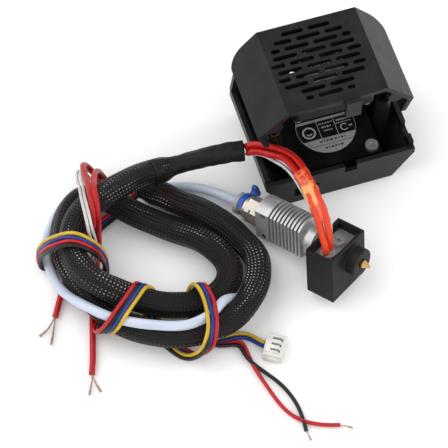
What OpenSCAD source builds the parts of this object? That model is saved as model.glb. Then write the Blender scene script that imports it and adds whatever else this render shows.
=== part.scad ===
// Hotend assembly of a filament printer: fan shroud with two fans, hotend, feed tube and wire harness.
// It lies as it is set down on a bench: the shroud on its carriage face, the hotend beside it.
// Origin: midpoint of the two carriage holes, on the carriage face. +Z is away from the carriage.

/* [Shroud] */
// Width across the side walls of the front cover
cover_w = 66; // [64:0.5:70]
// Height of the cover's grille face above the carriage face
cover_h = 55; // [54:0.5:58]
// Wall thickness of the printed-style covers
wall = 2.2; // [1.8:0.1:2.6]
// Length of both covers along the hotend's axis
cover_l = 40; // [40:0.5:42]
// Radius of the round grille
grille_r = 19; // [15:0.5:20]
// Distance between rows of grille slots
slot_pitch = 3.54; // [3:0.02:4]
// Height of the rear housing's side walls
rear_h = 19.4; // [16:0.2:21]

/* [Fans] */
// Side of the square heatsink fan
fan_w = 35; // [30:5:35]
// Thickness of the heatsink fan
fan_t = 10; // [9:0.5:10]
// Side of the square part-cooling blower
blower_w = 40; // [40:40]
// Thickness of the part-cooling blower
blower_t = 9.5; // [9:0.5:11]
// Blades on the heatsink fan
fan_blades = 7; // [5:1:9]
// Blades on the blower wheel
blower_blades = 24; // [16:2:30]

/* [Hotend] */
// Heatsink radius
sink_r = 9.1; // [8.5:0.1:10]
// Number of fin gaps
fin_gaps = 10; // [8:1:11]
// Side of the across-flats hexagon on the tube fitting
fitting_af = 10; // [9:0.5:10]
// Silicone sock wall
sock_wall = 1.5; // [1:0.1:1.6]
// Outside diameter of the feed tube
tube_d = 4; // [4:4]

/* [Harness] */
// Diameter of the braided sleeve
sleeve_d = 10.5; // [9:0.1:10.5]
// Diameter of a heater wire
heater_wire_d = 2.8; // [2.2:0.1:2.8]
// Diameter of the thin signal wires
wire_d = 1.6; // [1.2:0.1:1.6]
// Diameter of the red supply wires
supply_d = 2.5; // [2:0.1:2.6]

/* [View] */
// Sub-part to draw

/* [Hidden] */
$fa = 6;
$fs = 0.4;

black = [0.06, 0.06, 0.065];
charcoal = [0.12, 0.12, 0.13];
steel = [0.72, 0.72, 0.72];
alloy = [0.78, 0.78, 0.79];
brass_c = [0.8, 0.62, 0.3];
blue_c = [0.02, 0.3, 0.85];
red_c = [0.85, 0.06, 0.05];
white_c = [0.93, 0.93, 0.91];
yellow_c = [0.95, 0.75, 0.1];
amber_c = [0.95, 0.35, 0.05];

// Shroud: far end, near end, and the corner points of the two profiles.
far_y = -4;
near_y = far_y - cover_l;
side_x = cover_w / 2;
top_x = side_x - 12;
lip_x = side_x - 3;
cover_shoulder_z = cover_h - 14;
cover_lip_z = 33.5;
rear_x = lip_x + 2;
rear_floor_x = 23;
rear_shoulder_z = 14.3;
floor_t = 2.8;
rear_wall = 2;
rear_end_t = 2;
rear_near_y = -53.2;
rear_near_h = 17;
ledge_x = 21;
seam_z = 20;
carriage_hole_x = 15;
carriage_hole_r = 1.7;
ledge_t = 3;
insert_xy = [[-23.5, -36.5], [24.5, -33]];
insert_z = 30;
insert_bore_r = 1.25;
insert_r = 2.2;
insert_l = 5;

// Fans.
fan_y = -24;
fan_top_z = cover_h - wall - 1.4;
fan_bottom_z = fan_top_z - fan_t;
fan_hole = 14.5;
fan_screw_r = 1.25;
blower_y = -27.8;
blower_z = floor_t;
blower_top_z = blower_z + blower_t;
blower_lid_t = 1;
blower_hole = 16.5;
running_gap = 0.05;
axle_r = 1;

// Hotend stations along its own axis, from the collet ring towards the nozzle.
collet_travel = 0.5;
fit_x = 3.5;
fit_hex_x = 5.2;
sink_x = 11.8;
stem_end_x = 17.5;
fins_x = 18.4;
collar_x = 35.7;
sink_end_x = 39.3;
flat_s = -5.8;
core_r = 4.5;
block_x = 44.3;
block_l = 10;
block_s0 = -12.25;
block_s1 = 7.15;
block_u0 = -12.5;
block_u1 = 5;
sock_u1 = 9.1;
boss_end_x = 60.5;
tip_x = 64.1;
cartridge_x = 49.8;
cartridge_s = -8.1;
sensor_x = 46.4;
sensor_s = -4.1;

// Braided sleeve, from the heat-shrink at the shroud to its cut end under the coil.
sleeve_route = [
    [-68, -31.5, 17], [-75, -33, 19], [-81, -34, 20], [-87.5, -36, 20.5], [-94, -38, 20.5],
    [-100.5, -40.5, 20.5], [-106, -43, 20.5], [-110.5, -47, 20.5], [-114, -52.5, 20.5], [-115.5, -58.5, 20.5],
    [-115, -66, 21], [-112.5, -71.5, 20.5], [-108.5, -76.5, 19.5], [-103, -80.5, 17], [-96, -83.5, 12.5],
    [-88.5, -87, 9], [-80, -90, 8.5], [-71, -91.5, 8], [-63, -89.5, 8], [-57, -84, 8],
    [-55, -77.5, 8], [-57, -71, 8], [-61, -64.5, 8], [-67, -59, 8], [-74, -53.5, 8],
    [-80.5, -48, 8], [-87, -41.5, 8], [-92, -35, 8], [-97, -31, 8], [-102.5, -29.5, 8],
    [-107.5, -31.5, 8], [-112, -36.5, 8], [-115, -43, 8], [-117, -50, 8], [-117, -58, 7.5],
    [-115.5, -67, 7.5], [-112.5, -76, 7.5], [-108.5, -84.5, 7.5], [-102, -92.5, 9], [-94.5, -98.5, 10.5],
    [-86, -103, 10.5], [-76, -104.5, 10.5], [-66.5, -104, 10], [-57.5, -100.5, 10.5], [-50.5, -94.5, 10.5],
    [-45.5, -87, 10.5], [-43.5, -78, 10], [-46, -70.5, 8], [-49.5, -62, 8], [-54.5, -55, 8],
    [-60, -49, 8], [-66.5, -43.5, 7.5], [-71.5, -37.5, 7.5], [-76, -34.8, 7.4], [-80, -32.5, 7.2]
];
// Feed tube, from inside the fitting to the end under the coil.
tube_route = [
    [-26.3, -72.3, 12], [-30.4, -66.7, 10.6], [-35, -60.4, 8.9], [-39.7, -54.1, 7.3], [-43.2, -49.4, 6.1],
    [-48.5, -42.5, 4], [-53, -39, 4], [-57, -36, 3], [-61.5, -33.5, 2.5], [-67.5, -32, 2],
    [-74, -30.5, 2], [-79.5, -28, 2], [-85.5, -26, 2], [-91, -25, 2], [-96, -24, 2],
    [-101.5, -23.5, 2], [-107, -25, 2], [-112.5, -28.5, 2], [-117, -33.5, 2], [-121.5, -39.5, 2],
    [-124, -45.5, 2], [-124.5, -52.5, 2.5], [-124, -61, 4], [-122.5, -70.5, 8], [-118, -78.5, 12.5],
    [-113.5, -85.5, 15.5], [-108, -91, 16.5], [-102, -95, 17], [-95, -99, 18], [-88, -102, 18],
    [-80.5, -104, 18], [-73.5, -103, 18], [-67.5, -99.5, 16.5], [-62.5, -94, 13.5], [-54.5, -92, 4],
    [-51, -87, 2.5], [-48, -84, 2]
];
// Heat-shrink between the shroud and the sleeve.
shrink_route = [
    [-36, -35.5, 21], [-42.5, -34.5, 21], [-49, -34, 20.5], [-55.5, -33, 19.5], [-61.5, -32, 18],
    [-68, -31.5, 17]
];
// Heater wires, from the shroud to the cartridge.
heater_a_route = [
    [-35, -37, 21], [-32, -38, 22.5], [-30, -41, 25], [-27, -45, 27.5], [-23.5, -48.5, 30],
    [-21.9, -54.5, 32.5], [-21.4, -62, 34.5], [-20.9, -68, 36], [-20.9, -75, 37], [-20.7, -81, 36.5],
    [-20.7, -85, 35], [-21, -89, 32.5], [-20.4, -92.6, 28.9], [-20.5, -93.5, 25.7]
];
heater_b_route = [
    [-35, -34.5, 22], [-32, -35.5, 24], [-29, -38.5, 26.5], [-25.5, -42.5, 29], [-21, -47.5, 31],
    [-18.9, -54, 33.5], [-18.4, -61.5, 35.5], [-17.9, -68, 37], [-17.9, -75, 38], [-17.7, -81, 37.5],
    [-17.7, -85, 36], [-18, -89, 33.5], [-18.1, -90.8, 28.4], [-18.2, -91.7, 25.1]
];
// Temperature sensor wires, from the shroud to the block.
sensor_a_route = [
    [-35.5, -36.5, 19.5], [-32.5, -38, 20.5], [-29.5, -40.5, 22], [-27.5, -45, 24.5], [-24.5, -50.5, 27],
    [-22.9, -57, 30], [-22.4, -63.5, 32], [-21.9, -69.5, 33.5], [-21.4, -76, 34], [-20.7, -81, 33],
    [-20.2, -85, 31], [-18.5, -87.7, 25.4], [-18.6, -88.7, 21.8]
];
sensor_b_route = [
    [-35, -35.5, 20.5], [-32, -37, 21.5], [-29, -39.5, 23], [-26.5, -44.5, 25.5], [-23.5, -50, 28],
    [-21.4, -56.5, 30], [-20.9, -63, 32], [-20.4, -69.5, 33.5], [-19.9, -75.5, 34], [-19.7, -80.5, 33],
    [-18.7, -85, 31], [-17.5, -87, 25.2], [-17.7, -88.1, 21.5]
];
// Four thin wires that wrap the bundle: the plug end, three wraps, then back under the sleeve.
yellow_route = [
    [-52, -113, 3], [-54.5, -109, 1.5], [-56.5, -106, 1], [-61, -104.5, 1], [-67, -104.5, 1],
    [-73.5, -103.5, 1], [-77, -99.5, 1], [-77.5, -93, 1], [-76.5, -87.5, 1.5], [-75.5, -84, 4],
    [-74, -83, 9], [-72.5, -84, 13.5], [-71.5, -87.5, 16], [-71, -92.5, 16.5], [-71.5, -97.5, 18],
    [-72.5, -104, 20.5], [-74, -109.5, 21], [-76, -112.5, 19.5], [-77.5, -113.5, 15], [-79.5, -112.5, 10],
    [-81.5, -110.5, 5], [-84, -108, 2], [-87, -104, 1], [-88, -98, 1], [-89, -90.5, 1],
    [-87.5, -84.5, 1.5], [-87.5, -81.5, 4], [-87.5, -80.5, 9.5], [-89.5, -80.5, 14], [-92, -82.5, 18],
    [-95.5, -86, 18.5], [-99.5, -90, 19.5], [-103.5, -94, 20.5], [-106.5, -96, 17.5], [-108.5, -95, 12],
    [-110, -92, 6], [-109.5, -87.5, 2], [-109, -79.5, 1], [-107.5, -71.5, 1], [-104.5, -64.5, 1],
    [-102, -60.5, 3.5], [-101.5, -59.5, 10], [-103.5, -60, 18], [-106.5, -60, 24.5], [-110, -57.5, 27.5],
    [-114.5, -55, 28], [-119, -54, 26], [-123, -51, 20], [-125.5, -48, 12], [-127, -46.5, 5.5],
    [-127.5, -47, 1], [-121, -48.5, 1], [-114.5, -48.5, 1], [-107, -44, 1], [-101, -40, 1],
    [-93.5, -36.5, 1], [-86.5, -35, 2.5], [-81.5, -33.8, 6.2]
];
blue_route = [
    [-52.5, -114.5, 3], [-55, -111, 1.5], [-57.5, -107.5, 1], [-62, -106, 1], [-67.5, -106.5, 1],
    [-72.5, -105.5, 1], [-75, -100, 1], [-75.5, -93.5, 1], [-74.5, -88, 1.5], [-73.5, -84.5, 4],
    [-72, -83.5, 9], [-70.5, -84.5, 13.5], [-69.5, -88, 16], [-69, -93, 16.5], [-70, -98, 18.5],
    [-70.5, -104.5, 20], [-72.5, -110, 21], [-74, -113, 19.5], [-75.5, -114, 15], [-77.5, -113, 10],
    [-79.5, -111, 5], [-82, -108.5, 2], [-85, -104.5, 1], [-90, -97.5, 1], [-90.5, -89.5, 1],
    [-89.5, -84, 1.5], [-89, -81, 4.5], [-89, -79.5, 9.5], [-91, -79.5, 14.5], [-93.5, -81.5, 18.5],
    [-97, -85.5, 19.5], [-101, -89, 20], [-105, -93.5, 20.5], [-108, -95, 18], [-110.5, -94, 12],
    [-111.5, -91, 6], [-111.5, -87, 1.5], [-107.5, -81, 1], [-106.5, -73.5, 1], [-104, -66.5, 1],
    [-102, -62.5, 3.5], [-102, -61.5, 10], [-104, -61.5, 18], [-107, -61.5, 24.5], [-110.5, -59.5, 27.5],
    [-115, -57, 28], [-119.5, -55.5, 26], [-123.5, -53, 20], [-126, -50, 12], [-127.5, -48.5, 5.5],
    [-128, -49.5, 1], [-121.5, -51, 1], [-114.5, -50, 1], [-106.5, -45.5, 1], [-100.5, -41.5, 1],
    [-93.5, -38, 1], [-86.5, -36.5, 2.5], [-81.5, -34.5, 5.6]
];
red_route = [
    [-34.5, -155, 1], [-41.5, -153, 1], [-48.5, -149, 1], [-53.5, -142.5, 1], [-56, -133, 1],
    [-59, -121.5, 1], [-59.5, -114, 1], [-59.5, -109, 1], [-63.5, -107.5, 1], [-68.5, -108, 1],
    [-70.5, -105, 1], [-73.5, -100, 1], [-74, -93.5, 1], [-73, -88, 1.5], [-72, -85, 4],
    [-70.5, -84, 9], [-69, -85, 13.5], [-68, -88.5, 16], [-67.5, -93.5, 16.5], [-68, -98, 19],
    [-69, -105, 20], [-71, -110.5, 21], [-72.5, -113.5, 19], [-74, -114.5, 15], [-76, -113.5, 10],
    [-78, -111, 4.5], [-80.5, -108, 1.5], [-83.5, -103.5, 1], [-92.5, -95.5, 1], [-94, -88, 1],
    [-93, -82.5, 1.5], [-92.5, -79.5, 4.5], [-92.5, -78.5, 10], [-93.5, -78, 15], [-95.5, -80.5, 20],
    [-99.5, -84.5, 20.5], [-104, -88.5, 20.5], [-108.5, -92.5, 21], [-111.5, -94, 18], [-114, -93, 12.5],
    [-115, -90, 6], [-115, -86, 2], [-111.5, -82, 1], [-109.5, -74.5, 1.5], [-107, -67.5, 2],
    [-104, -63.5, 4], [-103, -63, 10.5], [-104.5, -63, 18], [-107.5, -63, 24.5], [-111, -61, 27.5],
    [-115.5, -58.5, 28], [-120, -57.5, 26], [-124, -54.5, 20], [-126.5, -51.5, 12], [-128, -50.5, 5.5],
    [-128, -51.5, 1], [-121.5, -52.5, 1], [-114.5, -51, 2], [-107, -45.5, 2.5], [-101, -40.5, 2.5],
    [-94, -37, 2], [-87.5, -36, 3.5], [-81.5, -33, 7.4]
];
black_route = [
    [-48, -153.5, 1], [-47, -142, 1], [-51, -130.5, 1], [-57, -122.5, 1], [-61, -116, 1.5],
    [-61, -110, 1.5], [-65, -109, 1.5], [-70.5, -108.5, 2], [-73.5, -105, 2.5], [-76, -100.5, 2.5],
    [-76.5, -93.5, 2], [-75.5, -88.5, 2], [-75, -85.5, 4.5], [-73, -84.5, 9], [-71.5, -85.5, 13],
    [-70.5, -88.5, 15.5], [-70, -93, 15.5], [-70.5, -98, 17], [-71.5, -104.5, 19.5], [-73.5, -110.5, 19.5],
    [-75.5, -114.5, 18.5], [-77, -115, 14.5], [-79, -114, 9.5], [-81.5, -112, 4.5], [-84.5, -109.5, 1.5],
    [-87.5, -105.5, 1], [-92, -97.5, 1], [-92.5, -89.5, 1], [-91.5, -83.5, 1.5], [-91, -80.5, 4.5],
    [-91, -79, 10], [-92.5, -79, 15], [-94.5, -81, 19.5], [-98.5, -85, 20], [-102.5, -89, 19.5],
    [-107, -93, 20], [-110, -94.5, 17.5], [-112, -93.5, 12], [-113.5, -90.5, 6], [-113, -86.5, 2],
    [-110.5, -83.5, 1], [-109, -76, 2], [-106, -69.5, 2], [-103.5, -65.5, 4], [-103, -64.5, 10.5],
    [-105, -65, 18], [-108, -65, 24.5], [-111.5, -62.5, 27.5], [-116, -60.5, 28], [-120.5, -59, 26],
    [-124.5, -56.5, 20], [-127, -53.5, 12], [-128, -52.5, 5.5], [-127.5, -53.5, 1], [-122, -54.5, 1],
    [-114.5, -52.5, 1], [-106.5, -47.5, 1], [-99.5, -42.5, 1], [-93, -39, 1], [-86.5, -38, 2],
    [-81.8, -34.8, 6.8]
];
// Sensor tails that leave the sleeve end and wrap it.
white_a_route = [
    [-90.5, -34, 1], [-94, -25, 0.5], [-97, -18, 2], [-99.5, -16.5, 7], [-102.5, -19.5, 13],
    [-104, -25, 16.5], [-104.5, -33, 21], [-106, -41.5, 27.5], [-106.5, -49.5, 27.5], [-107, -55, 25],
    [-106.5, -56.5, 17], [-106, -56.5, 9], [-108, -57, 2.5], [-111, -61, 1], [-111.5, -66, 1],
    [-110, -72.5, 0.5], [-106.5, -78, 1]
];
white_b_route = [
    [-89, -33.5, 1], [-92, -24.5, 0.5], [-95, -17.5, 2.5], [-98, -16, 7], [-101, -19, 13],
    [-102, -24.5, 16.5], [-103, -32.5, 21], [-104.5, -41, 27.5], [-105, -49, 27.5], [-105.5, -54.5, 25],
    [-104.5, -56.5, 17], [-104.5, -56, 9], [-106, -57, 2.5], [-109, -60.5, 1], [-109.5, -66.5, 1],
    [-107, -72, 0.5], [-104, -77, 1]
];
// Red-sleeved heater tails.
supply_a_route = [
    [-91, -30.5, 1.5], [-94, -23, 4], [-95.5, -18, 6.5], [-98, -17, 11.5], [-100, -19.5, 16.5],
    [-100.5, -24.5, 19.5], [-101, -32, 23], [-102, -40, 28], [-103, -46.5, 26.5], [-103.5, -50.5, 22.5],
    [-105.5, -50.5, 14.5], [-108, -50.5, 7.5], [-111.5, -52.5, 2.5], [-115, -57, 1.5], [-120, -62, 1.5],
    [-123, -67, 1.5], [-125.5, -71.5, 1.5], [-128, -76, 1.5]
];
supply_b_route = [
    [-89, -30, 1.5], [-90.5, -22, 1.5], [-92.5, -20, 5.5], [-94, -21.5, 12], [-96.5, -25.5, 18.5],
    [-98.5, -32.5, 23], [-100, -39, 28], [-100.5, -45.5, 26.5], [-101.5, -49.5, 22], [-102, -50.5, 14],
    [-102.5, -51.5, 6.5], [-104, -54.5, 2], [-106.5, -61, 2], [-110, -68.5, 2.5], [-111.5, -74.5, 1.5],
    [-114.5, -82.5, 1.5], [-116.5, -90.5, 1.5], [-118.5, -98, 1.5], [-121, -105, 1.5]
];
tape_route = [[-20.1, -60, 34.2], [-19.6, -67, 36], [-19.4, -75, 36.8], [-19.1, -80.5, 36.2], [-19, -84.5, 34.8]];

// ---- Small helpers ----

// Extrudes an x-z outline along Y, from y0 up to y1.
module along_y(y0, y1) {
    translate([0, y1, 0])
        rotate([90, 0, 0])
            linear_extrude(y1 - y0)
                children();
}

// A cylinder along +X.
module rod_x(x0, x1, r) {
    translate([x0, 0, 0])
        rotate([0, 90, 0])
            cylinder(h = x1 - x0, r = r);
}

// A hexagonal prism along +X, by its across-flats size.
module hex_x(x0, x1, af) {
    translate([x0, 0, 0])
        rotate([0, 90, 0])
            cylinder(h = x1 - x0, r = af / 2 / cos(30), $fn = 6);
}

// A cone along +X.
module cone_x(x0, x1, r0, r1) {
    translate([x0, 0, 0])
        rotate([0, 90, 0])
            cylinder(h = x1 - x0, r1 = r0, r2 = r1, $fn = 48);
}

// A box given by its two corners.
module span(a, b) {
    translate(a)
        cube(b - a);
}

// Square plate with rounded corners, centred.
module plate(w, t, r) {
    linear_extrude(t)
        rounded_square(w, r);
}

module rounded_square(w, r) {
    square([w - 2 * r, w], center = true);
    square([w, w - 2 * r], center = true);
    for (x = [-1, 1], y = [-1, 1])
        translate([x * (w / 2 - r), y * (w / 2 - r)])
            circle(r);
}

// Places children drawn in the hotend's own frame: +X to the nozzle, +Z out of the sock's open side.
module at_hotend() {
    translate([-42, -51, 6.5])
        rotate([0, 0, -53.5])
            rotate([0, -11.7, 0])
                rotate([-10.65, 0, 0])
                    children();
}

// ---- Swept cords ----

function unit(v) = v / norm(v);

// One point of a smooth curve that is drawn towards b and c.
function blend(a, b, c, d, t) =
    (pow(1 - t, 3) * a + (3 * pow(t, 3) - 6 * t * t + 4) * b
        + (3 * t + 3 * t * t - 3 * pow(t, 3) + 1) * c + pow(t, 3) * d) / 6;

// A smooth curve along the route, with k steps for each of its points.
function smooth(p, k) =
    let (n = len(p) - 1, q = concat([2 * p[0] - p[1]], p, [2 * p[n] - p[n - 1]]))
        [
            for (i = [0 : n - 1], j = [0 : k - 1])
                blend(q[i], q[i + 1], q[i + 2], q[i + 3], j / k),
            p[n]
        ];

function tangents(p) = [
    for (i = [0 : len(p) - 1])
        unit(p[min(i + 1, len(p) - 1)] - p[max(i - 1, 0)])
];

// Removes the part of n that runs along t.
function square_to(n, t) = unit(n - (n * t) * t);

// A side direction at each point that does not twist along the curve.
function frames(t) = [
    for (i = 0, n = square_to([0.1, 0.2, 1], t[0]);
        i < len(t);
        n = i + 1 < len(t) ? square_to(n, t[i + 1]) : n, i = i + 1)
        n
];

// A round bar of diameter d along a route.
module cord(route, d, k = 2, sides = 8) {
    p = smooth(route, k);
    t = tangents(p);
    n = frames(t);
    rings = len(p);
    points = [
        for (i = [0 : rings - 1], j = [0 : sides - 1])
            p[i] + d / 2 * (cos(360 * j / sides) * n[i] + sin(360 * j / sides) * cross(t[i], n[i]))
    ];
    walls = [
        for (i = [0 : rings - 2], j = [0 : sides - 1])
            let (a = i * sides + j, b = i * sides + (j + 1) % sides)
                each [[a, a + sides, b + sides], [a, b + sides, b]]
    ];
    first = [for (j = [0 : sides - 1]) j];
    last = [for (j = [sides - 1 : -1 : 0]) (rings - 1) * sides + j];
    polyhedron(points, concat(walls, [first, last]));
}

// ---- Shroud ----

module cover_outline() {
    polygon([
        [-lip_x, cover_lip_z], [-side_x, cover_shoulder_z], [-top_x, cover_h],
        [top_x, cover_h], [side_x, cover_shoulder_z], [lip_x, cover_lip_z]
    ]);
}

module cover_cavity() {
    polygon([
        [-lip_x + wall + 0.3, cover_lip_z - 1], [-side_x + wall + 0.4, cover_shoulder_z],
        [-top_x + 0.9, cover_h - wall], [top_x - 0.9, cover_h - wall],
        [side_x - wall - 0.4, cover_shoulder_z], [lip_x - wall - 0.3, cover_lip_z - 1]
    ]);
}

// Plan of the cover: far corners rounded, near edge slightly bowed.
module cover_plan() {
    bow_r = 364;
    intersection() {
        translate([0, near_y - 1.5 + bow_r])
            circle(r = bow_r, $fn = 360);
        union() {
            translate([-side_x, near_y - 2])
                square([cover_w, cover_l - 4]);
            translate([-side_x + 6, near_y - 2])
                square([cover_w - 12, cover_l + 2]);
            for (x = [-1, 1])
                translate([x * (side_x - 6), far_y - 6])
                    circle(6);
        }
    }
}

// Rows of short slots in brick bond, cut off by the round edge of the grille.
module grille_slots() {
    slot_l = 10.2;
    slot_w = 1.95;
    slot_step = 12.1;
    intersection() {
        circle(grille_r + 0.4, $fn = 96);
        for (row = [-5 : 4], k = [-2 : 2]) {
            y = (row + 0.5) * slot_pitch;
            half = sqrt(grille_r * grille_r - y * y);
            x = (k + (row % 2 == 0 ? 0.5 : 0)) * slot_step;
            left = max(x - slot_l / 2, -half);
            right = min(x + slot_l / 2, half);
            if (right - left > 1.3 * slot_w)
                translate([(left + right) / 2, y])
                    hull_slot(right - left, slot_w);
        }
    }
}

// A slot with round ends.
module hull_slot(l, w) {
    square([l - w, w], center = true);
    for (x = [-1, 1])
        translate([x * (l - w) / 2, 0])
            circle(w / 2, $fn = 16);
}

module front_cover() {
    color(black) {
        difference() {
            intersection() {
                along_y(near_y - 1.5, far_y)
                    cover_outline();
                linear_extrude(cover_h + 1)
                    cover_plan();
            }
            along_y(near_y - 2, far_y - rear_end_t)
                cover_cavity();
            translate([-1.5, -24, cover_h - wall - 1])
                linear_extrude(wall + 2)
                    grille_slots();
        }
        difference() {
            along_y(far_y - rear_end_t, far_y)
                polygon([[-rear_x, seam_z], [-lip_x, cover_lip_z + 1], [lip_x, cover_lip_z + 1], [rear_x, seam_z]]);
            translate([0, far_y + 1, seam_z])
                rotate([90, 0, 0])
                    cylinder(h = 4, r = 7);
        }
        // Fan bosses under the grille face
        for (x = [-fan_hole, fan_hole], y = [-fan_hole, fan_hole])
            translate([x, fan_y + y, fan_top_z])
                difference() {
                    cylinder(h = cover_h - wall - fan_top_z + 0.1, r = 2.2);
                    cylinder(h = 1.3, r = fan_screw_r + running_gap);
                }
        // Snap tab on the near edge
        span([2.6, near_y - 3.6, cover_h - 2], [9, near_y - 1, cover_h - 0.2]);
        span([2.6, near_y - 3.6, cover_h - 10], [9, near_y - 2.2, cover_h - 1]);
        // Side ribs inside the near end
        for (x = [-1, 1])
            translate([x * 25.6, near_y + 1.2, 44.6])
                rotate([90, 0, 0])
                    cylinder(h = 1.6, r = 3.4, center = true);
    }
}

module rear_outline() {
    polygon([
        [-rear_floor_x, 0], [-rear_x, rear_shoulder_z], [-rear_x, rear_h],
        [rear_x, rear_h], [rear_x, rear_shoulder_z], [rear_floor_x, 0]
    ]);
}

module rear_cavity() {
    polygon([
        [-rear_floor_x + 0.6, floor_t], [-rear_x + rear_wall, rear_shoulder_z + 0.6],
        [-rear_x + rear_wall, rear_h + 1], [rear_x - rear_wall, rear_h + 1],
        [rear_x - rear_wall, rear_shoulder_z + 0.6], [rear_floor_x - 0.6, floor_t]
    ]);
}

module rear_housing() {
    color(charcoal)
        difference() {
            union() {
                difference() {
                    along_y(rear_near_y, far_y)
                        rear_outline();
                    along_y(rear_near_y + rear_end_t, far_y - rear_end_t)
                        rear_cavity();
                }
                span([-ledge_x, far_y, 0], [ledge_x, 5, ledge_t]);
                along_y(far_y - rear_end_t, far_y)
                    polygon([[-rear_x, rear_h], [-rear_x, seam_z], [rear_x, seam_z], [rear_x, rear_h]]);
                intersection() {
                    for (p = insert_xy)
                        translate([p[0], p[1], 1])
                            cylinder(h = insert_z - 1, r = 3.2);
                    along_y(rear_near_y, far_y)
                        polygon([
                            [-rear_floor_x, 0], [-rear_x, rear_shoulder_z], [-rear_x, 40],
                            [rear_x, 40], [rear_x, rear_shoulder_z], [rear_floor_x, 0]
                        ]);
                }
            }
            for (x = [-carriage_hole_x, carriage_hole_x])
                translate([x, 0, -1])
                    cylinder(h = ledge_t + 2, r = carriage_hole_r);
            // Air intake under the blower
            translate([0, blower_y, -1])
                cylinder(h = floor_t + 2, r = 12.5);
            // Air outlet in the near end wall
            span([-19.5, rear_near_y - 1, 4.4], [-9.3, rear_near_y + rear_end_t + 1, 10.4]);
            // The near end wall is lower than the side walls, with a notch
            span([-rear_x - 1, rear_near_y - 1, rear_near_h], [rear_x + 1, rear_near_y + rear_end_t, rear_h + 1]);
            span([1.8, rear_near_y - 1, 12.8], [7, rear_near_y + rear_end_t + 1, rear_h + 1]);
            // Notch in the right wall
            span([rear_x - rear_wall - 1, -47, 16.4], [rear_x + 1, -41, rear_h + 1]);
            // Clearance notch for tube and cables
            translate([0, far_y + 1, seam_z])
                rotate([90, 0, 0])
                    cylinder(h = 4, r = 7);
            for (p = insert_xy)
                translate([p[0], p[1], insert_z - insert_l])
                    cylinder(h = insert_l + 1, r = insert_r);
            for (p = [[16.5, -16.5], [-16.5, 16.5], [16.5, 16.5]])
                translate([p[0], blower_y + p[1], -1])
                    cylinder(h = floor_t + 2, r = 1.5 + running_gap);
        }
}

// Two brass heat-set inserts in the posts
module threaded_inserts() {
    color(brass_c)
        for (p = insert_xy)
            translate([p[0], p[1], insert_z - insert_l])
                difference() {
                    cylinder(h = insert_l, r = insert_r);
                    translate([0, 0, -1])
                        cylinder(h = insert_l + 2, r = insert_bore_r);
                }
}

// ---- Heatsink fan ----

module heatsink_fan_frame() {
    color(black)
        translate([0, fan_y, fan_bottom_z]) {
            difference() {
                plate(fan_w, fan_t, 3);
                translate([0, 0, -1])
                    cylinder(h = fan_t + 2, r = 16.5);
                for (x = [-fan_hole, fan_hole], y = [-fan_hole, fan_hole])
                    translate([x, y, -1])
                        cylinder(h = fan_t + 2, r = fan_screw_r + running_gap);
            }
            cylinder(h = 1.2, r = 9.8);
            for (a = [45 : 90 : 315])
                rotate([0, 0, a])
                    span([9, -1.4, 0], [17, 1.4, 1.2]);
            cylinder(h = fan_t - 2.2, r = axle_r);
        }
}

module heatsink_fan_rotor() {
    hub_r = 9.6;
    color(charcoal)
        translate([0, fan_y, fan_bottom_z]) {
            difference() {
                translate([0, 0, 1.6])
                    cylinder(h = fan_t - 2.2, r = hub_r);
                translate([0, 0, 1])
                    cylinder(h = fan_t - 3.1, r = axle_r + running_gap);
            }
            for (i = [0 : fan_blades - 1])
                rotate([0, 0, i * 360 / fan_blades])
                    translate([hub_r - 0.4, 0, fan_t / 2 + 0.4])
                        rotate([38, 0, 0])
                            translate([0, -4.6, -0.5])
                                cube([6.4, 9.2, 1]);
        }
}

// Round label on the fan hub
module heatsink_fan_label() {
    color(white_c)
        translate([0, fan_y, fan_bottom_z + fan_t - 0.6])
            cylinder(h = 0.2, r = 9);
}

// Self-tapping screws that hold the fan under the grille face
module heatsink_fan_screws() {
    color(steel)
        for (x = [-fan_hole, fan_hole], y = [-fan_hole, fan_hole])
            translate([x, fan_y + y, fan_bottom_z]) {
                cylinder(h = fan_t + 1.1, r = fan_screw_r);
                translate([0, 0, -1.6])
                    difference() {
                        cylinder(h = 1.6, r = 2.3);
                        translate([0, 0, -0.1])
                            cylinder(h = 1.1, r = 1.2, $fn = 6);
                    }
            }
}

// ---- Part-cooling blower ----

module blower_case() {
    color(black)
        translate([0, blower_y, blower_z])
            difference() {
                plate(blower_w, blower_t - blower_lid_t, 3);
                translate([0, 0, 1.2])
                    cylinder(h = blower_t, r = 17.6);
                translate([0, 0, -1])
                    cylinder(h = 4, r = 12.2);
                span([-18.5, -blower_w / 2 - 1, 1.2], [-8, 0, blower_t]);
                for (p = [[16.5, -16.5], [-16.5, 16.5], [16.5, 16.5]])
                    translate([p[0], p[1], -1])
                        cylinder(h = blower_t, r = 1.5 + running_gap);
            }
}

module blower_lid() {
    color(black)
        translate([0, blower_y, blower_top_z - blower_lid_t]) {
            difference() {
                plate(blower_w, blower_lid_t, 3);
                for (p = [[16.5, -16.5], [-16.5, 16.5], [16.5, 16.5]])
                    translate([p[0], p[1], -1])
                        cylinder(h = 3, r = 1.5 + running_gap);
            }
            translate([0, 0, 0.1 - 5])
                cylinder(h = 5, r = axle_r);
        }
}

module blower_impeller() {
    wheel_h = 6;
    color(charcoal)
        translate([0, blower_y, blower_z + 1.7]) {
            difference() {
                cylinder(h = wheel_h, r = 9.5);
                translate([0, 0, 1])
                    cylinder(h = wheel_h, r = axle_r + running_gap);
            }
            difference() {
                cylinder(h = 0.8, r = 16.4);
                translate([0, 0, -1])
                    cylinder(h = 3, r = 9);
            }
            for (i = [0 : blower_blades - 1])
                rotate([0, 0, i * 360 / blower_blades])
                    translate([13.2, -0.3, 0.4])
                        rotate([0, 0, 25])
                            cube([3, 0.6, wheel_h - 0.6]);
        }
}

// Round rating label on the blower's closed side
module blower_label() {
    color(white_c)
        translate([1.5, -29.7, blower_top_z])
            cylinder(h = 0.2, r = 12.5);
}

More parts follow.
